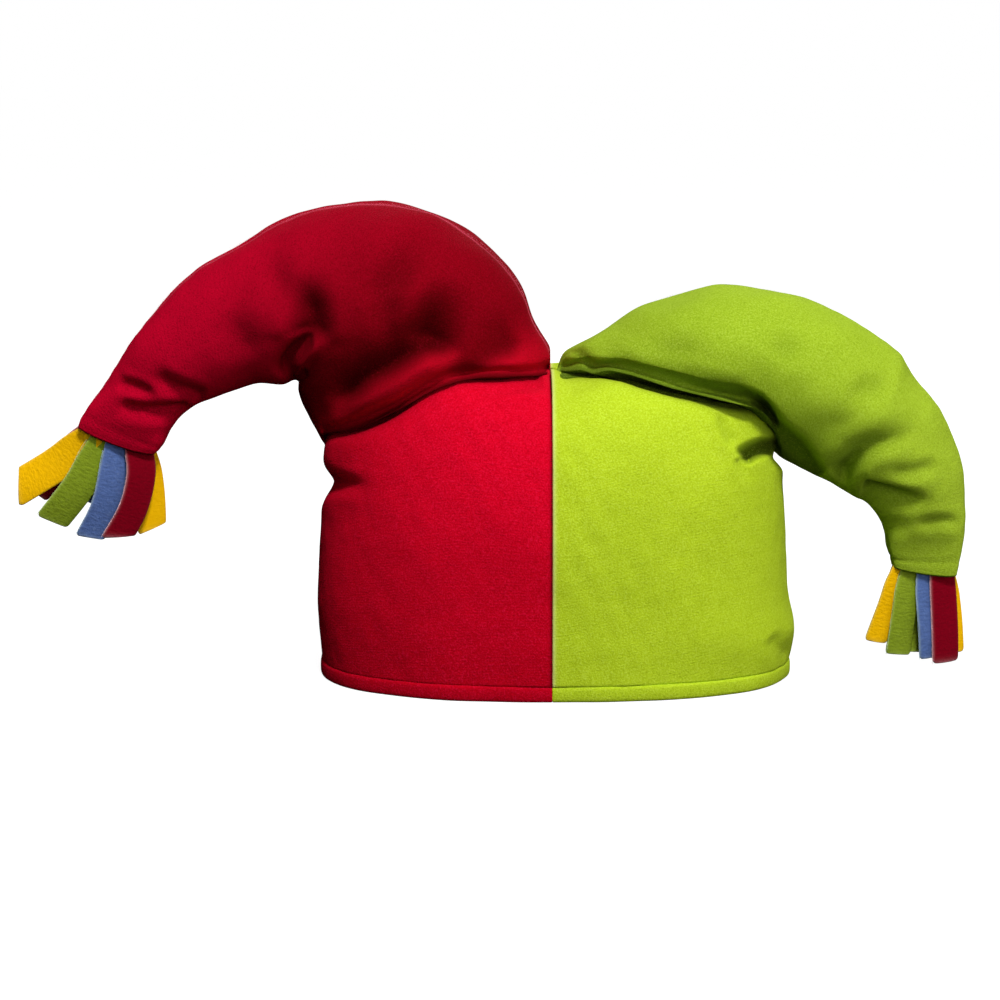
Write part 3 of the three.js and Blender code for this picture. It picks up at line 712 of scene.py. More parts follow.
def tipFrame(side):
    # the tip's middle, the way along its edge to the outer corner, and the way out of it
    last = horns[side]["sections"][-1]
    inner = np.array(hornSpot(side, np.array(last[0]), np.array(last[1])))
    outer = np.array(hornSpot(side, np.array(last[2]), np.array(last[3])))
    width = np.linalg.norm(outer - inner)
    across = (outer - inner) / width
    down = np.array([across[1], -across[0]]) * sides[side]
    roll = math.radians(abs(tassel["roll"][side]))
    flat, tilted = math.cos(roll), math.sin(roll)
    rolledWidth = tassel["rootWidth"] * flat + tassel["thickness"] * tilted
    gap, wall = hornShape["gap"], hornShape["tipWall"]
    layerDepth = tassel["rootWidth"] * tilted + tassel["thickness"] * flat + gap
    halfDepth = layerDepth + gap + wall
    middle = (inner + outer) / 2
    return {
        "middle": np.array([middle[0], last[5] * halfDepth, middle[1]]),
        "across": np.array([across[0], 0, across[1]]),
        "down": np.array([down[0], 0, down[1]]),
        "back": np.array([0, 1, 0]),
        "width": width,
        "pitch": (width - 2 * wall - 2 * gap - rolledWidth) / (tassel["inLayer"] - 1),
        "layerDepth": layerDepth,
        "halfDepth": halfDepth,
    }


def hornSurface(side, places, angles):
    # points of a horn at places in its table, for lines that run along it at angles from the outer line
    form = horns[side]
    rows = smoothRows(form["sections"], places.ravel()).reshape(*places.shape, 7)
    inX, inZ = hornSpot(side, rows[..., 0], rows[..., 1])
    outX, outZ = hornSpot(side, rows[..., 2], rows[..., 3])
    depth, lean, square = rows[..., 4], rows[..., 5], rows[..., 6]
    tipDepth = tipFrame(side)["halfDepth"]
    thick = tipDepth + depth * (form["depth"] / 2 - tipDepth)
    across, back = bend(np.cos(angles), square), bend(np.sin(angles), square)
    x = (inX + outX) / 2 + (outX - inX) / 2 * across
    z = (inZ + outZ) / 2 + (outZ - inZ) / 2 * across
    return np.stack([x, thick * (back + lean), z], axis=-1)


def hornBase(side, shell):
    # the lines of a horn, each starting where it comes out of the crown
    last = len(horns[side]["sections"]) - 1
    angles = np.linspace(0, 2 * math.pi, hornShape["columns"], endpoint=False)
    early = np.linspace(0, last * 0.55, 240)
    lines = hornSurface(side, np.repeat(early[:, None], len(angles), axis=1), angles)
    above, _, _ = heightAbove(shell, lines)
    start = np.zeros(len(angles))
    for j in range(len(angles)):
        below = np.nonzero(above[:, j] < 0)[0]
        k = below[-1] if len(below) else 0
        rise = above[k + 1, j] - above[k, j]
        start[j] = early[k] + (early[k + 1] - early[k]) * min(1, -above[k, j] / rise if rise > 0 else 0)
    around = len(angles)
    rise, _ = aboveCrease(side, lines)
    spots = pictureSpots(lines)[..., 0]
    inPath = (spots > creases[side][0][0]) & (spots < creases[side][-1][0])
    front = smoothstep(0, 0.2, -np.sin(angles))
    for j in range(len(angles)):
        low = np.nonzero((rise[:, j] < -hornShape["tuck"]) & inPath[:, j])[0]
        shown = early[low[-1]] if len(low) else 0
        start[j] += (shown - start[j]) * front[j]
    start = np.minimum.reduce([np.roll(start, k) for k in range(-3, 4)])
    kernel = np.exp(-(np.arange(-9, 10) / 4) ** 2)
    kernel /= kernel.sum()
    start = sum(np.roll(start, k - 9) * w for k, w in enumerate(kernel))
    fine = np.linspace(0, last, 600)
    rings = hornSurface(side, np.repeat(fine[:, None], 24, axis=1), angles[::max(1, around // 24)][:24])
    steps = np.linalg.norm(np.diff(rings, axis=0), axis=-1).mean(axis=1)
    length = np.concatenate([[0], np.cumsum(steps)])
    begin = np.maximum(np.interp(start, fine, length) - hornShape["root"] * (1 - front), 0)
    shares = np.linspace(0, 1, hornShape["rows"])[:, None]
    lengths = begin + (length[-1] - begin) * shares
    places = np.interp(lengths, length, fine)
    grid = hornSurface(side, places, angles)
    grid[..., 0] = seamX + sides[side] * np.maximum((grid[..., 0] - seamX) * sides[side], crown["seamGap"])
    plain = grid.copy()
    grid = overCrown(side, grid, shell)
    facing = sheetNormals(grid, wrap=True)
    middle = grid.mean(axis=1, keepdims=True)
    if ((grid - middle) * facing).sum() < 0:
        facing = -facing
    return {"grid": grid, "plain": plain, "facing": facing, "lengths": lengths, "angles": angles}


def overCrown(side, grid, shell):
    # moves a horn's front along the lines of sight, from the bottom of its fold out over the crown
    form = horns[side]["overhang"]
    points = grid[:hornShape["rootRows"]].reshape(-1, 3)
    facing = sheetNormals(grid, wrap=True)[:hornShape["rootRows"]].reshape(-1, 3)
    eye = eyePlace()
    sight = points - np.array(eye)
    far = np.linalg.norm(sight, axis=1)
    hits = [shell.ray_cast(eye, Vector(way)) for way in sight]
    crownFar = np.array([9.0 if hit[3] is None else hit[3] for hit in hits])
    above, share = aboveCrease(side, points)
    x, y, _ = np.array(creases[side], float).T
    spots = pictureSpots(points)[:, 0]
    feet = [pictureToSpace(u, v + 2, 0) for u, v in zip(spots, np.interp(spots, x, y))]
    hits = [shell.ray_cast(eye, Vector(foot) - eye) for foot in feet]
    footFar = np.array([9.0 if hit[3] is None else hit[3] for hit in hits])
    stand = footFar + form["slope"] * above + 10 * mm * (np.clip(above, 0, 1) / form["reach"]) ** 3
    stand += 30 * mm * (1 - smoothstep(x[0], x[0] + 16, spots) * smoothstep(x[-1], x[-1] - 16, spots))
    beside = (spots < x[0]) | (spots > x[-1]) | (footFar > 8)
    crownFar = np.where(beside, crownFar, np.minimum(crownFar, stand))
    deep = crown["grooveDepth"] * share
    rise = 1 - np.exp(-np.clip(above / form["width"], 0, 30) ** form["sharp"])
    wanted = crownFar + deep - (deep + form["lift"]) * rise
    ease = form["ease"]
    nearest = np.minimum(far, wanted) - ease * np.log1p(np.exp(-np.abs(far - wanted) / ease))
    held = np.where(crownFar < 9, np.exp(-(np.clip(above, 0, 1) / (2 * mm)) ** 2), 0)
    moved = nearest + (wanted - nearest) * held
    middle = grid[:hornShape["rootRows"]].mean(axis=1, keepdims=True)
    outward = ((grid[:hornShape["rootRows"]] - middle) * facing.reshape(-1, grid.shape[1], 3)).sum() > 0
    toEye = -(unit(sight) * facing).sum(-1) * (1 if outward else -1)
    share = smoothstep(-0.05, 0.25, toEye) * smoothstep(-3 * mm, 0, above)
    out = grid.copy()
    out[:hornShape["rootRows"]] += (sight * ((moved / far - 1) * share)[:, None]).reshape(-1, grid.shape[1], 3)
    return out


def hornShell(base):
    # a horn's plain surface from its root, closed below, to tell what lies under it
    grid = base["plain"]
    rows, columns = grid.shape[:2]
    points = grid.reshape(-1, 3).tolist() + [grid[0].mean(axis=0).tolist()]
    at = lambda r, c: r * columns + c % columns
    faces = [(at(r, c), at(r, c + 1), at(r + 1, c + 1), at(r + 1, c)) for r in range(rows // 2) for c in range(columns)]
    faces += [(at(0, c + 1), at(0, c), rows * columns) for c in range(columns)]
    tree = BVHTree.FromPolygons(points, faces)
    probe = grid[20, 0] + base["facing"][20, 0] * mm
    if heightAbove(tree, probe[None])[0][0] < 0:
        tree = BVHTree.FromPolygons(points, [face[::-1] for face in faces])
    return tree


def crownTree(outers):
    # the crown as it is under the horns, with its folds pressed in
    points, faces = [], []
    for side, outer in outers.items():
        rows, columns = outer.shape[:2]
        first = len(points)
        points += outer.reshape(-1, 3).tolist()
        at = lambda r, c: first + r * columns + c
        sheet = [(at(r, c), at(r, c + 1), at(r + 1, c + 1), at(r + 1, c))
                 for r in range(rows - 1) for c in range(columns - 1)]
        faces += sheet if side == "green" else [face[::-1] for face in sheet]
    return BVHTree.FromPolygons(points, faces)


def keptOutside(tree, points, facing, gap):
    # a surface that dips into the ground comes out of it, towards the camera in front and straight out behind
    above, spot, away = heightAbove(tree, points)
    out = np.where((above < gap)[..., None], spot + away * gap, points)
    eye = eyePlace()
    sight = points - np.array(eye)
    toEye = -(unit(sight) * facing).sum(-1)
    moved = points.copy()
    for place in np.argwhere(toEye > 0):
        way = sight[tuple(place)]
        hit = tree.ray_cast(eye, Vector(way))[3]
        far = np.linalg.norm(way)
        if hit and far > hit - gap:
            moved[tuple(place)] += way * ((hit - gap) / far - 1)
    front = smoothstep(-0.05, 0.2, toEye)[..., None]
    return out + (moved - out) * front


def finishHorn(side, base, ground):
    grid, facing = base["grid"].copy(), base["facing"]
    rows, columns = grid.shape[:2]
    flat = grid.reshape(-1, 3)
    push, back, crease = foldPush(flat, facing.reshape(-1, 3), hornFolds[side])
    lump, ripples = hornShape["lumps"], hornShape["ripples"]
    toTip = base["lengths"][-1:] - base["lengths"]
    calm = smoothstep(0, 60 * mm, toTip).ravel()
    push = push + calm * lump[0] * ripple(flat, lump[1], 31) + ripples[0] * ripple(flat, ripples[1], 32)
    push, crease = push.reshape(rows, columns), crease.reshape(rows, columns)
    turn = np.degrees(base["angles"]) - horns[side]["seamTurn"]
    turn = (turn + 180) % 360 - 180
    girth = np.linalg.norm(np.roll(grid, -1, axis=1) - grid, axis=-1).sum(axis=1, keepdims=True)
    seamAway = np.abs(turn)[None] / 360 * girth
    pucker = 0.5 + 0.5 * ripple(np.stack([base["lengths"].ravel()] * 3, axis=-1), 7 * mm, 33).reshape(rows, columns)
    push -= 0.7 * mm * np.exp(-(seamAway / (1.3 * mm)) ** 2)
    push -= 0.35 * mm * pucker * np.exp(-(seamAway / (6 * mm)) ** 2)
    push -= 0.45 * mm * np.exp(-((toTip - hornShape["hemAt"]) / (0.9 * mm)) ** 2)
    toEye = unit(np.array(eyePlace()) - grid)
    grid += facing * push[..., None] + toEye * back.reshape(rows, columns)[..., None]
    fromBase = base["lengths"] - base["lengths"][0]
    hidden = 1 - smoothstep(-0.2, 0.3, -np.sin(base["angles"]))
    grid -= facing * (rolled(fromBase, hornShape["baseRoll"]) * hidden)[..., None]
    tip = tipFrame(side)
    across = ((grid - tip["middle"]) @ tip["across"]) / (tip["width"] / 2)
    bulge = horns[side]["bulge"] * np.clip(1 - across ** 2, 0, 1) * smoothstep(12 * mm, 0, toTip)
    grid += tip["down"] * bulge[..., None]
    for _ in range(hornShape["smoothing"]):
        grid = (2 * grid + np.roll(grid, 1, axis=1) + np.roll(grid, -1, axis=1)) / 4
        grid[1:-1] = (2 * grid[1:-1] + grid[:-2] + grid[2:]) / 4
    near = 40
    grid[:near] = keptOutside(ground, grid[:near], facing[:near], hornShape["gap"])
    grid[..., 0] = seamX + sides[side] * np.maximum((grid[..., 0] - seamX) * sides[side], crown["seamGap"])
    # painted shade where the horn comes out of the crown
    crease = np.maximum(crease, np.exp(-(fromBase / (2.2 * mm)) ** 2))
    cap = baseCap(side, grid[0], ground)
    mouth = tipMouth(tip, grid[-1])
    rings = np.concatenate([cap, grid, mouth])
    lengths = np.concatenate([base["lengths"][0] - np.linspace(12, 1, len(cap))[:, None] * mm, base["lengths"],
                              base["lengths"][-1] + np.linspace(0.5, 8, len(mouth))[:, None] * mm])
    lengths = np.concatenate([lengths, lengths[:, :1]], axis=1)
    girths = np.linspace(0, 1, columns + 1)[None] * np.concatenate(
        [np.repeat(girth[:1], len(cap), 0), girth, np.repeat(girth[-1:], len(mouth), 0)])
    pad = lambda values, low, high: np.concatenate(
        [np.full((len(cap), columns), low), values, np.full((len(mouth), columns), high)])
    seam = np.exp(-(seamAway / (1.1 * mm)) ** 2)
    # painted light: the horn cloth lightens towards the tip
    tipward = smoothstep(0.15, 0.9, np.linspace(0, 1, rows))[:, None] * np.ones((1, columns))
    # root tone near the crown; on the red horn it is painted light on the roll
    root = np.exp(-(fromBase / hornShape["rootLight"]) ** 2)
    # the crease mark is painted shade, full on the underside cap and inside the tip
    marks = {"crease": pad(crease, 1, 1), "seam": pad(seam, 0, 0), "tipward": pad(tipward, 0, 1), "root": pad(root, 1, 0)}
    return tubePiece(f"horn_{side}_stuffed", rings, lengths, girths, marks)


def baseCap(side, ring, ground):
    # the horn's underside, which lies on the crown
    shares = np.linspace(0.04, 1, hornShape["baseRows"], endpoint=False)[:, None, None]
    rings = ring.mean(axis=0) + (ring[None] - ring.mean(axis=0)) * shares
    for place in np.ndindex(rings.shape[:2]):
        x, y, z = rings[place]
        hit = ground.ray_cast(Vector((x, y, 2 * crown["height"])), Vector((0, 0, -1)))[0]
        if hit:
            rings[place][2] = max(z, hit.z + hornShape["gap"])
    return rings


def tipMouth(tip, ring):
    # the rolled hem and the inside of the tip
    along = np.roll(ring, -1, axis=0) - np.roll(ring, 1, axis=0)
    inward = unit(np.cross(along, tip["down"]))
    centre = ring.mean(axis=0)
    if ((centre - ring) * inward).sum() < 0:
        inward = -inward
    radius = hornShape["tipWall"] / 2
    turns = np.linspace(0, math.pi, 7)[1:]
    hem = [ring + inward * radius * (1 - math.cos(a)) + tip["down"] * radius * math.sin(a) for a in turns]
    inside = [hem[-1] - tip["down"] * hornShape["mouth"] * share for share in (0.3, 0.65, 1)]
    return np.array(hem + inside)


# Node trees are wired through this class, which wraps one socket. Sums and products add Math nodes.
class Wire:
    def __init__(self, tree, socket=None):
        self.tree = tree
        self.socket = socket

    def node(self, kind, settings=None, inputs=None, out=0):
        made = self.tree.nodes.new(kind)
        for name, value in (settings or {}).items():
            if name == "stops":
                fillRamp(made.color_ramp, value)
            else:
                setattr(made, name, value)
        for key, value in (inputs or {}).items():
            if isinstance(value, Wire):
                self.tree.links.new(value.socket, made.inputs[key])
            else:
                made.inputs[key].default_value = value
        return Wire(self.tree, made.outputs[out] if len(made.outputs) else None)

    def output(self, name):
        return Wire(self.tree, self.socket.node.outputs[name])

    def math(self, operation, *values):
        return self.node("ShaderNodeMath", {"operation": operation}, dict(enumerate(values)))

    def vector(self, operation, first, second):
        key = "Scale" if operation == "SCALE" else 1
        return self.node("ShaderNodeVectorMath", {"operation": operation}, {0: first, key: second})

    def __add__(self, other): return self.math("ADD", self, other)
    def __radd__(self, other): return self.math("ADD", other, self)
    def __sub__(self, other): return self.math("SUBTRACT", self, other)
    def __rsub__(self, other): return self.math("SUBTRACT", other, self)
    def __mul__(self, other): return self.math("MULTIPLY", self, other)
    def __rmul__(self, other): return self.math("MULTIPLY", other, self)
    def __truediv__(self, other): return self.math("DIVIDE", self, other)
    def __pow__(self, other): return self.math("POWER", self, other)
    def __neg__(self): return self.math("MULTIPLY", self, -1)


def fillRamp(ramp, stops):
    while len(ramp.elements) > len(stops):
        ramp.elements.remove(ramp.elements[-1])
    while len(ramp.elements) < len(stops):
        ramp.elements.new(1)
    for element, (place, value) in zip(ramp.elements, stops):
        element.position = place
        element.color = (value, value, value, 1)


def newMaterial(name):
    material = bpy.data.materials.new(name)
    material.use_nodes = True
    material.node_tree.nodes.clear()
    return material, Wire(material.node_tree)


def mixed(wire, share, first, second, blend="MIX"):
    return wire.node("ShaderNodeMix", {"data_type": "RGBA", "blend_type": blend}, {0: share, 6: first, 7: second}, 2)


# Brushed knit. Colours are linear, wale and nap are in metres.
# fold colours are painted shade, laid into creases by the crease mark
knit = {
    # foot: painted shade, how far the crown cloth darkens towards the bottom
    "red": {"base": (0.7, 0.001, 0.018, 1), "deep": (0.34, 0, 0.004, 1), "nap": (0.95, 0.014, 0.085, 1),
            # the red crown's dark seam tone is painted shadow in the centre seam
            "tip": (0.7, 0.001, 0.018, 1), "seam": (0.2, 0, 0.004, 1), "fold": (0.12, 0, 0.001, 1),
            "root": (0.6, 0.002, 0.02, 1), "foot": 0.48},
    "green": {"base": (0.5, 0.67, 0.02, 1), "deep": (0.24, 0.36, 0.006, 1), "nap": (0.72, 0.88, 0.12, 1),
              "tip": (0.5, 0.67, 0.02, 1), "seam": (0.8, 0.85, 0.3, 1), "fold": (0.025, 0.045, 0.001, 1),
              "root": (0.5, 0.65, 0.02, 1), "foot": 0},
    # the horn cloths are darker, shaded copies of the crown cloth (painted shade); their tip tones and the red horn's
    # root tone are lighter again (painted light)
    "red_horn": {"base": (0.22, 0, 0.005, 1), "deep": (0.09, 0, 0.001, 1), "nap": (0.36, 0.002, 0.02, 1),
                 "tip": (0.72, 0.0008, 0.03, 1), "seam": (0.62, 0.06, 0.11, 1), "fold": (0.04, 0, 0, 1),
                 "root": (0.62, 0.002, 0.016, 1), "foot": 0},
    "green_horn": {"base": (0.32, 0.47, 0.02, 1), "deep": (0.14, 0.23, 0.005, 1), "nap": (0.56, 0.72, 0.1, 1),
                   "tip": (0.42, 0.59, 0.03, 1), "seam": (0.2, 0.3, 0.01, 1), "fold": (0.04, 0.08, 0.001, 1),
                   "root": (0.3, 0.44, 0.02, 1), "foot": 0},
    "wale": 1.15 * mm,
    "dash": 3.4 * mm,
    "napSize": 0.75 * mm,
    "bump": 0.4 * mm,
}


def knitCloth(name, turn):
    material, tree = newMaterial(f"{name}_knit")
    look = knit[name]
    flat = tree.node("ShaderNodeUVMap", {"uv_map": "cloth"})
    place = tree.node("ShaderNodeTexCoord").output("Object")
    turned = tree.node("ShaderNodeMapping", {}, {"Vector": flat, "Rotation": (0, 0, math.radians(turn))})
    stretch = tree.node("ShaderNodeMapping", {}, {"Vector": turned, "Scale": (1 / knit["dash"], 1 / knit["wale"], 1)})
    dashes = tree.node("ShaderNodeTexNoise", {}, {"Vector": stretch, "Scale": 1.0, "Detail": 1.0, "Roughness": 0.5})
    rows = tree.node("ShaderNodeSeparateXYZ", {}, {0: stretch}, 1)
    wales = tree.math("SINE", rows * (2 * math.pi)) * 0.5 + 0.5
    nap = tree.node("ShaderNodeTexNoise", {}, {"Vector": place, "Scale": 1 / knit["napSize"], "Detail": 3.0, "Roughness": 0.6})
    cloud = tree.node("ShaderNodeTexNoise", {}, {"Vector": place, "Scale": 1 / (38 * mm), "Detail": 2.0})
    crease = tree.node("ShaderNodeAttribute", {"attribute_name": "crease"}).output("Fac")
    sunk = tree.node("ShaderNodeValToRGB", {"stops": [(0.42, 1), (0.62, 0)]}, {0: dashes}) * (0.3 + wales * -0.15)
    tipward = tree.node("ShaderNodeAttribute", {"attribute_name": "tipward"}).output("Fac")
    seam = tree.node("ShaderNodeAttribute", {"attribute_name": "seam"}).output("Fac")
    # painted light: the horns lighten towards the tip
    tone = mixed(tree, tipward, look["base"], look["tip"])
    # painted shade: the cloth darkens towards the deep colour near the floor, by the foot share
    height = tree.node("ShaderNodeSeparateXYZ", {}, {0: place}).output("Z")
    low = tree.node("ShaderNodeMapRange", {"interpolation_type": "SMOOTHSTEP"},
                    {"Value": height, "From Min": 0.1, "From Max": 0.0, "To Min": 0.0, "To Max": look["foot"]})
    tone = mixed(tree, sunk * 0.25 + low, tone, look["deep"])
    root = tree.node("ShaderNodeAttribute", {"attribute_name": "root"}).output("Fac")
    # root tone near the crown: painted light on the red horn
    tone = mixed(tree, root, tone, look["root"])
    # painted shade: creases darkened towards the fold colour
    tone = mixed(tree, crease * 0.95, tone, look["fold"])
    dark = tree.node("ShaderNodeValToRGB", {"stops": [(0.3, 1), (0.5, 0)]}, {0: nap}) * 0.45
    tone = mixed(tree, dark, tone, look["deep"])
    pale = tree.node("ShaderNodeValToRGB", {"stops": [(0.5, 0), (0.72, 1)]}, {0: nap}) * 0.4
    tone = mixed(tree, pale, tone, look["nap"])
    # seam tone along the seams: painted shadow in the red crown's centre seam; paler on the green crown and red horn,
    # darker on the green horn
    tone = mixed(tree, seam * (0.35 + nap * 0.8), tone, look["seam"])
    tone = mixed(tree, tree.node("ShaderNodeValToRGB", {"stops": [(0.3, 0), (0.7, 1)]}, {0: cloud}) * 0.14, tone, look["deep"])
    relief = nap + dashes * 0.3 + wales * 0.08
    bump = tree.node("ShaderNodeBump", {}, {"Height": relief, "Strength": 0.75, "Distance": knit["bump"]})
    shader = tree.node("ShaderNodeBsdfPrincipled", {}, {
        "Base Color": tone, "Roughness": 0.95, "Normal": bump, "Specular IOR Level": 0.03,
        "Sheen Weight": 0.1, "Sheen Roughness": 0.4, "Sheen Tint": look["nap"],
    })
    tree.node("ShaderNodeOutputMaterial", {}, {0: shader})
    return material


fleece = {
    "yellow": {"base": (0.97, 0.53, 0.0015, 1), "edge": (1, 0.7, 0.12, 1), "ribs": 0.96, "flecks": 0.03},
    "green": {"base": (0.26, 0.36, 0.02, 1), "edge": (0.5, 0.64, 0.16, 1), "pale": (0.6, 0.75, 0.4, 1),
              "ribs": 0.84, "flecks": 0.1},
    "blue": {"base": (0.1, 0.17, 0.42, 1), "edge": (0.5, 0.64, 0.8, 1), "pale": (0.6, 0.78, 0.95, 1),
             "ribs": 0.84, "flecks": 0.12},
    "red": {"base": (0.22, 0.0004, 0.009, 1), "edge": (0.9, 0.42, 0.46, 1), "pale": (1, 0.72, 0.76, 1),
            "ribs": 0.97, "flecks": 0.005},
    "rib": 1.1 * mm,
    "pile": 1.3 * mm,
    "bump": 0.4 * mm,
}


def fleeceCloth(colour):
    material, tree = newMaterial(f"fleece_{colour}")
    look = fleece[colour]
    place = tree.node("ShaderNodeTexCoord").output("Object")
    lie = tree.node("ShaderNodeAttribute", {"attribute_name": "lie"}).output("Vector")
    ribs = tree.node("ShaderNodeMapping", {}, {"Vector": lie, "Scale": (1 / (3.5 * mm), 1 / fleece["rib"], 1)})
    rib = tree.node("ShaderNodeTexNoise", {}, {"Vector": ribs, "Scale": 1.0, "Detail": 1.5})
    pile = tree.node("ShaderNodeTexNoise", {}, {"Vector": place, "Scale": 1 / fleece["pile"], "Detail": 3.0})
    edge = tree.node("ShaderNodeAttribute", {"attribute_name": "edge"}).output("Fac")
    shade = tree.node("ShaderNodeValToRGB", {"stops": [(0.35, look["ribs"]), (0.65, 1)]}, {0: rib})
    tone = mixed(tree, 1.0, look["base"], shade, "MULTIPLY")
    light = tree.node("ShaderNodeValToRGB", {"stops": [(0.55, 0), (0.8, 1)]}, {0: pile}) * look["flecks"]
    tone = mixed(tree, light, tone, look["edge"])
    tone = mixed(tree, edge * (0.55 + pile * 0.5), tone, look["edge"])
    bump = tree.node("ShaderNodeBump", {}, {"Height": pile + rib * 0.8, "Strength": 0.8, "Distance": fleece["bump"]})
    shader = tree.node("ShaderNodeBsdfPrincipled", {}, {
        "Base Color": tone, "Roughness": 0.95, "Normal": bump, "Specular IOR Level": 0.03,
        "Sheen Weight": 0.04, "Sheen Roughness": 0.5, "Sheen Tint": look["edge"],
    })
    tree.node("ShaderNodeOutputMaterial", {}, {0: shader})
    return material


# Strips of a tassel: the middle line of each in the picture, its width at the root and at the end, how far
# it bows to the front and how much shorter the cut leaves its right edge, both in mm
tassels = {
    "red": [
        {"colour": "yellow", "layer": "front", "path": [(93, 434), (58, 463), (11, 492)], "widths": (10, 16),
         "bow": -1.5, "slant": -8, "roll": -14},
        {"colour": "green", "layer": "front", "path": [(101, 441), (84, 479), (51, 523)], "widths": (9.5, 15),
         "bow": 1.5, "slant": 2, "fuzz": True},
        {"colour": "blue", "layer": "front", "path": [(115, 446), (113, 476), (105, 508), (89, 540)],
         "widths": (8.5, 12.8), "bow": 2, "slant": 3, "fuzz": True},
        {"colour": "red", "layer": "front", "path": [(139, 449), (142, 474), (134, 508), (115, 542)],
         "widths": (12.5, 13), "bow": 3, "slant": 7, "fuzz": True},
        {"colour": "red", "layer": "back", "path": [(91, 431), (64, 459), (35, 493)], "widths": (10, 13.5), "bow": -1,
         "slant": 0},
        {"colour": "blue", "layer": "back", "path": [(106, 440), (95, 470), (82, 500)], "widths": (8, 12), "bow": -1,
         "slant": 0},
        {"colour": "green", "layer": "back", "path": [(122, 446), (122, 480), (120, 520)], "widths": (8, 12),
         "bow": -1, "slant": 0},
        {"colour": "yellow", "layer": "back", "path": [(144, 449), (150, 490), (152, 534)], "widths": (9, 13),
         "bow": -1, "slant": 4.5},
    ],
    "green": [
        {"colour": "red", "layer": "front", "path": [(942, 572), (944, 616), (945, 661)], "widths": (11.8, 12.8),
         "bow": 1.5, "slant": 0, "fuzz": True},
        {"colour": "blue", "layer": "front", "path": [(927, 571), (930, 615), (932, 657)], "widths": (9.5, 12.5),
         "bow": 1, "slant": 0, "fuzz": True},
        {"colour": "green", "layer": "front", "path": [(910, 569), (904, 612), (898, 654)], "widths": (7.5, 12),
         "bow": 1, "slant": 0, "fuzz": True},
        {"colour": "yellow", "layer": "front", "path": [(900, 566), (889, 604), (875, 642)], "widths": (5, 10.5),
         "bow": 1, "slant": 1},
        {"colour": "yellow", "layer": "back", "path": [(944, 572), (949, 612), (952, 653)], "widths": (9, 12.5),
         "bow": -1, "slant": 0},
        {"colour": "blue", "layer": "back", "path": [(932, 570), (933, 610), (934, 645)], "widths": (8, 12),
         "bow": -1, "slant": 0},
        {"colour": "green", "layer": "back", "path": [(917, 568), (914, 610), (911, 652)], "widths": (8, 12),
         "bow": -1, "slant": 0},
        {"colour": "red", "layer": "back", "path": [(903, 563), (896, 600), (888, 635)], "widths": (8, 12),
         "bow": -1, "slant": 0},
    ],
}


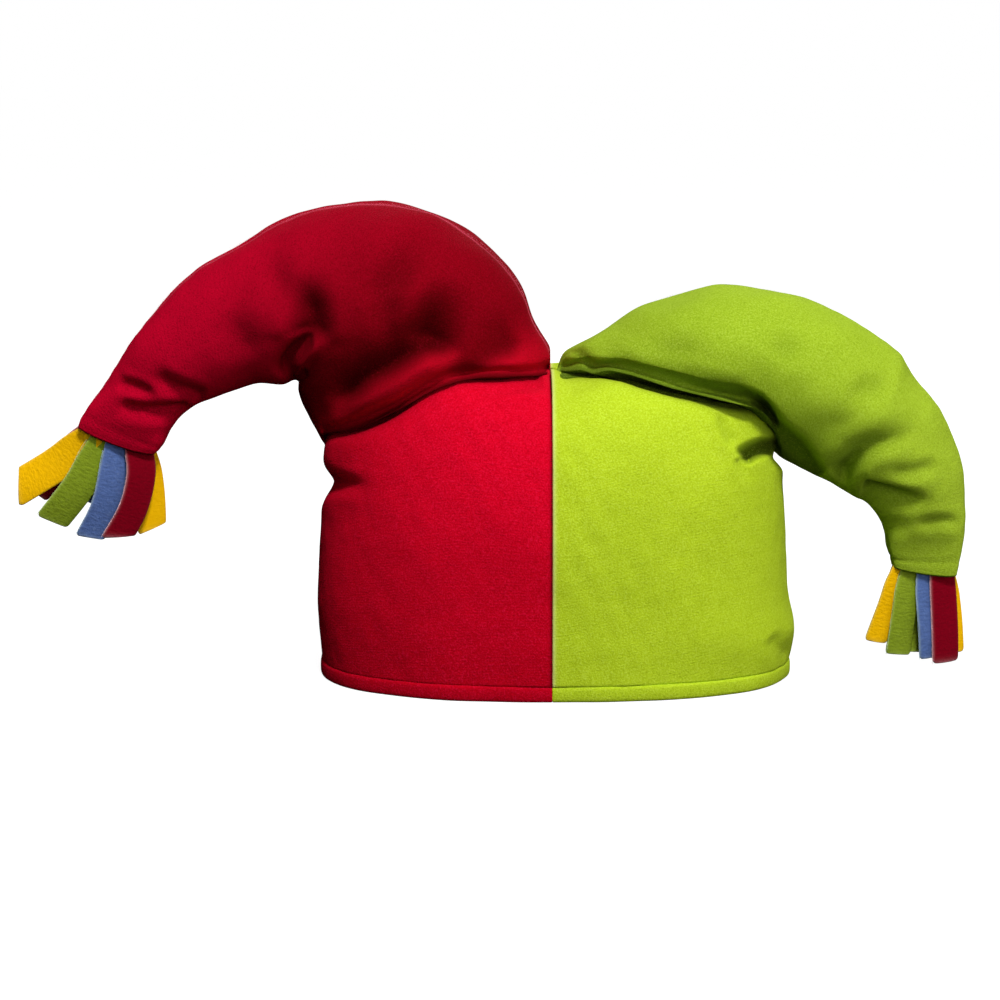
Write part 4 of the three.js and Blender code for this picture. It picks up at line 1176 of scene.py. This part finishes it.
def stripTree():
    # a flat strip with rounded edges that follows a line, in its own tree
    tree = bpy.data.node_groups.new("fleeceStrip", "GeometryNodeTree")
    face = tree.interface
    face.new_socket("Line", in_out="INPUT", socket_type="NodeSocketGeometry")
    for name in ("Width", "Root Width", "Thickness", "Roll", "Slant", "Wave", "Phase"):
        face.new_socket(name, in_out="INPUT", socket_type="NodeSocketFloat")
    face.new_socket("Cloth", in_out="INPUT", socket_type="NodeSocketMaterial")
    face.new_socket("Strip", in_out="OUTPUT", socket_type="NodeSocketGeometry")
    wire = Wire(tree)
    given = wire.node("NodeGroupInput")
    curve = wire.node("GeometryNodeMeshToCurve", {}, {0: given.output("Line")})
    form = wire.node("GeometryNodeMeshCylinder", {"fill_type": "TRIANGLE_FAN"},
                     {"Vertices": 28, "Side Segments": 100, "Radius": 1.0, "Depth": 2.0})
    spot = wire.node("GeometryNodeInputPosition")
    parts = wire.node("ShaderNodeSeparateXYZ", {}, {0: spot})
    x, y, z = parts, parts.output("Y"), parts.output("Z")
    along = z * 0.5 + 0.5
    wide = wire.math("SIGN", x) * wire.math("ABSOLUTE", x) ** 0.62
    thick = wire.math("SIGN", y) * wire.math("ABSOLUTE", y) ** 0.4
    held = wire.node("GeometryNodeSampleCurve", {"mode": "FACTOR", "use_all_curves": True},
                     {"Curves": curve, "Factor": along - (given.output("Slant") * wide + wire.math("ABSOLUTE", given.output("Slant"))) * 0.5 * along ** 4})
    middle, tangent = held.output("Position"), held.output("Tangent")
    back = wire.node("ShaderNodeCombineXYZ", {}, {"Y": 1.0})
    side = wire.vector("NORMALIZE", wire.vector("CROSS_PRODUCT", tangent, back), (0, 0, 0))
    stand = wire.vector("CROSS_PRODUCT", side, tangent)
    roll = given.output("Roll")
    cos, sin = wire.math("COSINE", roll), wire.math("SINE", roll)
    acrossWay = wire.vector("ADD", wire.vector("SCALE", side, cos), wire.vector("SCALE", stand, sin))
    thickWay = wire.vector("SUBTRACT", wire.vector("SCALE", stand, cos), wire.vector("SCALE", side, sin))
    opened = wire.node("ShaderNodeMapRange", {"interpolation_type": "SMOOTHSTEP"},
                       {"Value": along, "From Max": 0.4, "To Min": given.output("Root Width"),
                        "To Max": given.output("Width")})
    sway = wire.math("SINE", along * 5.2 + wide * 0.9 + given.output("Phase")) * given.output("Wave") * along
    cup = wide * wide * along * given.output("Wave") * 0.8
    opened = opened * (1 - along ** 70 * 0.16)
    place = wire.vector("ADD", middle, wire.vector("SCALE", acrossWay, wide * opened * 0.5))
    place = wire.vector("ADD", place, wire.vector("SCALE", thickWay, thick * given.output("Thickness") * 0.5 + sway + cup))
    left = wire.math("MAXIMUM", -wide, 0.0) ** 22
    edge = wire.math("MAXIMUM", wire.math("MAXIMUM", left, wire.math("ABSOLUTE", wide) ** 24 * 0.12), along ** 60 * 0.5)
    lie = wire.node("ShaderNodeCombineXYZ", {}, {"X": wide * opened * 0.5, "Y": along * (46 * mm)})
    marked = wire.node("GeometryNodeStoreNamedAttribute", {"data_type": "FLOAT", "domain": "POINT"},
                       {"Geometry": form, "Name": "edge", "Value": edge})
    marked = wire.node("GeometryNodeStoreNamedAttribute", {"data_type": "FLOAT_VECTOR", "domain": "POINT"},
                       {"Geometry": marked, "Name": "lie", "Value": lie})
    shaped = wire.node("GeometryNodeSetPosition", {}, {"Geometry": marked, "Position": place})
    smooth = wire.node("GeometryNodeSetShadeSmooth", {}, {"Geometry": shaped})
    real = wire.node("GeometryNodeRealizeInstances", {}, {"Geometry": smooth})
    done = wire.node("GeometryNodeSetMaterial", {}, {"Geometry": real, "Material": given.output("Cloth")})
    wire.node("NodeGroupOutput", {}, {0: done})
    return tree


def bakeNodes(source, tree, values, name):
    # runs a tree on an object and keeps the result as a plain mesh
    modifier = source.modifiers.new("nodes", "NODES")
    modifier.node_group = tree
    for item in tree.interface.items_tree:
        if item.in_out == "INPUT" and item.name in values:
            modifier[item.identifier] = values[item.name]
    bpy.context.view_layer.update()
    dependency = bpy.context.evaluated_depsgraph_get()
    mesh = bpy.data.meshes.new_from_object(source.evaluated_get(dependency), preserve_all_data_layers=True,
                                           depsgraph=dependency)
    source.modifiers.remove(modifier)
    mesh.name = name
    piece = bpy.data.objects.new(name, mesh)
    bpy.context.collection.objects.link(piece)
    return piece


def lineObject(name, points):
    mesh = bpy.data.meshes.new(name)
    mesh.from_pydata([tuple(p) for p in points], [(i, i + 1) for i in range(len(points) - 1)], [])
    line = bpy.data.objects.new(name, mesh)
    bpy.context.collection.objects.link(line)
    return line


def stripLine(side, row):
    # the middle line of a strip, from inside the tip to its cut end, and its length
    tip = tipFrame(side)
    depth = tip["middle"][1] + tip["layerDepth"] / 2 * (-1 if row["layer"] == "front" else 1)
    path = np.array(row["path"], float)
    spots = smoothRows(path, np.linspace(0, len(path) - 1, 40))
    points = np.array([pictureToSpace(x, y, depth) for x, y in spots])
    share = np.linspace(0, 1, len(points))
    points[:, 1] -= row["bow"] * mm * np.sin(math.pi * share * 0.8)
    root = points[0] - tip["down"] * tassel["root"] * np.linspace(1, 0, 6, endpoint=False)[:, None]
    points = np.concatenate([root, points])
    return points, np.linalg.norm(np.diff(points, axis=0), axis=1).sum()


def stripEdge(side, row):
    # the left edge of a strip, where its cut pile is seen
    points, total = stripLine(side, row)
    far = np.linspace(0, 1, len(points))
    root, end = row["widths"]
    wide = (root + (end - root) * smoothstep(0, 0.4, far)) * mm
    tangent = unit(np.gradient(points, axis=0))
    across = unit(np.cross(tangent, (0, 1, 0)))
    turn = math.radians(tassel["lean"])
    way = across * math.cos(turn) + np.cross(across, tangent) * math.sin(turn)
    return (points - way * wide[:, None] / 2)[9:]


def tasselStrips(side, tree, cloths):
    pieces = []
    for number, row in enumerate(tassels[side]):
        points, total = stripLine(side, row)
        line = lineObject("line", points)
        values = {
            "Width": row["widths"][1] * mm, "Root Width": row["widths"][0] * mm, "Thickness": tassel["thickness"],
            "Roll": math.radians(row.get("roll", tassel["lean"])), "Slant": row["slant"] * mm / total,
            "Wave": 0.6 * mm, "Phase": 1.7 * number, "Cloth": cloths[row["colour"]],
        }
        piece = bakeNodes(line, tree, values, f"tassel_{side}_strip_{number + 1}")
        bpy.data.objects.remove(line)
        pieces.append((piece, row["colour"], total))
    return pieces


# Thread teeth in the centre seam, dark to stand for the shade in the seam line (painted shade), and loose fibres on the
# ridge seams
threads = {
    "teeth": {"step": 0.9 * mm, "size": (0.9 * mm, 0.5 * mm, 0.38 * mm), "turn": 0.35, "seed": 4},
    "fuzz": {"step": 0.55 * mm, "size": (0.07 * mm, 0.07 * mm, 1.7 * mm), "turn": 1.3, "seed": 9},
    "edges": {"step": 0.16 * mm, "size": (0.75 * mm, 0.09 * mm, 0.09 * mm), "turn": 0.9, "seed": 15},
}


def threadTree():
    # small bodies set along a line, each turned and sized by chance
    tree = bpy.data.node_groups.new("threads", "GeometryNodeTree")
    face = tree.interface
    face.new_socket("Line", in_out="INPUT", socket_type="NodeSocketGeometry")
    face.new_socket("Step", in_out="INPUT", socket_type="NodeSocketFloat")
    face.new_socket("Size", in_out="INPUT", socket_type="NodeSocketVector")
    face.new_socket("Turn", in_out="INPUT", socket_type="NodeSocketFloat")
    face.new_socket("Seed", in_out="INPUT", socket_type="NodeSocketInt")
    face.new_socket("Cloth", in_out="INPUT", socket_type="NodeSocketMaterial")
    face.new_socket("Threads", in_out="OUTPUT", socket_type="NodeSocketGeometry")
    wire = Wire(tree)
    given = wire.node("NodeGroupInput")
    curve = wire.node("GeometryNodeMeshToCurve", {}, {0: given.output("Line")})
    spots = wire.node("GeometryNodeResampleCurve", {"mode": "LENGTH"}, {"Curve": curve, "Length": given.output("Step")})
    body = wire.node("GeometryNodeMeshIcoSphere", {}, {"Radius": 0.5, "Subdivisions": 1})
    chance = wire.node("FunctionNodeRandomValue", {"data_type": "FLOAT_VECTOR"},
                       {"Min": (-1, -1, -1), "Max": (1, 1, 1), "Seed": given.output("Seed")})
    turned = wire.vector("SCALE", chance, given.output("Turn"))
    grown = wire.node("FunctionNodeRandomValue", {"data_type": "FLOAT_VECTOR"},
                      {"Min": (0.6, 0.6, 0.6), "Max": (1.3, 1.3, 1.3), "Seed": given.output("Seed")})
    size = wire.vector("MULTIPLY", grown, given.output("Size"))
    placed = wire.node("GeometryNodeInstanceOnPoints", {},
                       {"Points": spots, "Instance": body, "Rotation": turned, "Scale": size})
    real = wire.node("GeometryNodeRealizeInstances", {}, {"Geometry": placed})
    done = wire.node("GeometryNodeSetMaterial", {}, {"Geometry": real, "Material": given.output("Cloth")})
    wire.node("NodeGroupOutput", {}, {0: done})
    return tree


def threadPiece(name, tree, kind, points, cloth):
    form = threads[kind]
    line = lineObject("line", points)
    values = {"Step": form["step"], "Size": form["size"], "Turn": form["turn"], "Seed": form["seed"], "Cloth": cloth}
    piece = bakeNodes(line, tree, values, name)
    bpy.data.objects.remove(line)
    return piece


def plainCloth(name, colour):
    material, tree = newMaterial(name)
    shader = tree.node("ShaderNodeBsdfPrincipled", {}, {"Base Color": colour, "Roughness": 0.9, "Specular IOR Level": 0.1})
    tree.node("ShaderNodeOutputMaterial", {}, {0: shader})
    return material


def softBox(name, place, aim, size, power, colour=(1, 1, 1)):
    lamp = bpy.data.lights.new(name, "AREA")
    lamp.shape = "DISK"
    lamp.size = size
    lamp.energy = power
    lamp.color = colour
    light = bpy.data.objects.new(name, lamp)
    light.location = place
    light.rotation_euler = (Vector(aim) - Vector(place)).to_track_quat("-Z", "Y").to_euler()
    bpy.context.collection.objects.link(light)


def studio():
    scene = bpy.context.scene
    scene.view_settings.view_transform = "Standard"
    world = bpy.data.worlds.new("studio")
    scene.world = world
    world.use_nodes = True
    world.node_tree.nodes["Background"].inputs["Color"].default_value = (1, 1, 1, 1)
    world.node_tree.nodes["Background"].inputs["Strength"].default_value = 1.0
    world.cycles_visibility.diffuse = False
    world.cycles_visibility.glossy = False
    floor = bpy.data.objects.new("floor", bpy.data.meshes.new("floor"))
    reach = 60
    floor.data.from_pydata([(-reach, -reach, 0), (reach, -reach, 0), (reach, reach, 0), (-reach, reach, 0)], [], [(0, 1, 2, 3)])
    bpy.context.collection.objects.link(floor)
    material, tree = newMaterial("paper")
    place = tree.node("ShaderNodeTexCoord").output("Object")
    away = tree.node("ShaderNodeVectorMath", {"operation": "LENGTH"}, {0: place}, 1)
    near = tree.node("ShaderNodeMapRange", {"interpolation_type": "SMOOTHSTEP"},
                     {"Value": away, "From Min": 0.25, "From Max": 1.2, "To Min": 0.93, "To Max": 1.0})
    lit = tree.node("ShaderNodeBsdfDiffuse", {}, {"Color": (0.3, 0.3, 0.3, 1)})
    glow = tree.node("ShaderNodeEmission", {}, {"Color": near})
    both = tree.node("ShaderNodeAddShader", {}, {0: lit, 1: glow})
    tree.node("ShaderNodeOutputMaterial", {}, {0: both})
    floor.data.materials.append(material)
    floor.visible_diffuse = False
    floor.visible_glossy = False
    aim = (seamX, 0, 0.1)
    softBox("key", (0.16, -0.84, 1.2), aim, 0.28, 15)
    softBox("front", (0.3, -1.4, 0.4), aim, 0.9, 5.5)
    softBox("top", (0.1, -0.1, 1.5), aim, 0.8, 5)
    softBox("left", (-1.2, -0.3, 0.9), aim, 0.9, 1.5)
    softBox("right", (1.1, -0.5, 0.35), aim, 0.9, 3.6)
    softBox("back", (0.2, 1.4, 0.9), aim, 0.9, 9)
    camera = bpy.data.objects.new("camera", bpy.data.cameras.new("camera"))
    camera.data.lens = view["lens"]
    camera.data.sensor_width = view["sensor"]
    camera.location = eyePlace()
    camera.rotation_euler = (math.radians(90 - view["elevation"]), 0, 0)
    bpy.context.collection.objects.link(camera)
    scene.camera = camera


def dress(piece, material, nodes=()):
    piece.data.materials.clear()
    piece.data.materials.append(material)
    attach(piece, "root")
    if nodes:
        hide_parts(*nodes)


print("stage: camera and light")
studio()

print("stage: crown and horns")
bases = {side: crownBase(side) for side in sides}
shell = crownShell(bases)
hornBases = {side: hornBase(side, shell) for side in sides}
rims = {side: {"horn": hornShell(hornBases[side]), "line": hornBases[side]["plain"][0]} for side in sides}
walls = {side: finishCrown(side, bases[side], rims[side]) for side in sides}
ground = crownTree({side: walls[side][0] for side in sides})
turns = {"red": 4, "green": -8}
strips = stripTree()
fleeces = {colour: fleeceCloth(colour) for colour in ("yellow", "green", "blue", "red")}
for side in sides:
    outer, inner, crease = walls[side]
    cloth = knitCloth(side, turns[side])
    # the horn wears a darker copy of the crown's cloth: painted shade
    shadedHornCloth = knitCloth(f"{side}_horn", turns[side] * 3)
    half = crownPiece(side, bases[side], outer, inner, crease)
    hem = rimBand(side, bases[side])
    horn = finishHorn(side, hornBases[side], ground)
    dress(half, cloth, [f"crown_{side}"])
    dress(hem, cloth, [f"rim_band_{side}"])
    dress(horn, shadedHornCloth, [f"horn_{side}"])
    for piece, colour, total in tasselStrips(side, strips, fleeces):
        dress(piece, fleeces[colour], [f"tassel_{side}"])
print("stage: threads")
thread = threadTree()
# dark teeth: painted shade in the centre seam
seamShadeCloth = plainCloth("seam_shade_thread", (0.11, 0, 0.003, 1))
fuzzCloths = {"red": plainCloth("red_fibres", (0.8, 0.18, 0.24, 1)), "green": plainCloth("green_fibres", (0.6, 0.72, 0.2, 1))}
grid, facing = bases["red"]["grid"], bases["red"]["facing"]
for name, column in (("front", 0), ("back", -1)):
    line = walls["red"][0][:200, column] + facing[:200, column] * 0.9 * mm
    line[:, 0] = seamX - 0.45 * mm
    teeth = threadPiece(f"centre_seam_{name}_teeth", thread, "teeth", line, seamShadeCloth)
    dress(teeth, seamShadeCloth, ["crown_red"])
for side in sides:
    turn = math.radians(horns[side]["seamTurn"]) % (2 * math.pi)
    column = int(round(turn / (2 * math.pi) * hornShape["columns"]))
    line = hornBases[side]["grid"][12:-3, column]
    fuzz = threadPiece(f"ridge_seam_{side}_fibres", thread, "fuzz", line, fuzzCloths[side])
    dress(fuzz, fuzzCloths[side], [f"horn_{side}"])
    for number, row in enumerate(tassels[side]):
        if "fuzz" in row:
            pale = plainCloth(f"{side}_{row['colour']}_pile", fleece[row["colour"]]["pale"])
            fuzz = threadPiece(f"tassel_{side}_pile_{number + 1}", thread, "edges", stripEdge(side, row), pale)
            dress(fuzz, pale)
print("stage: done")
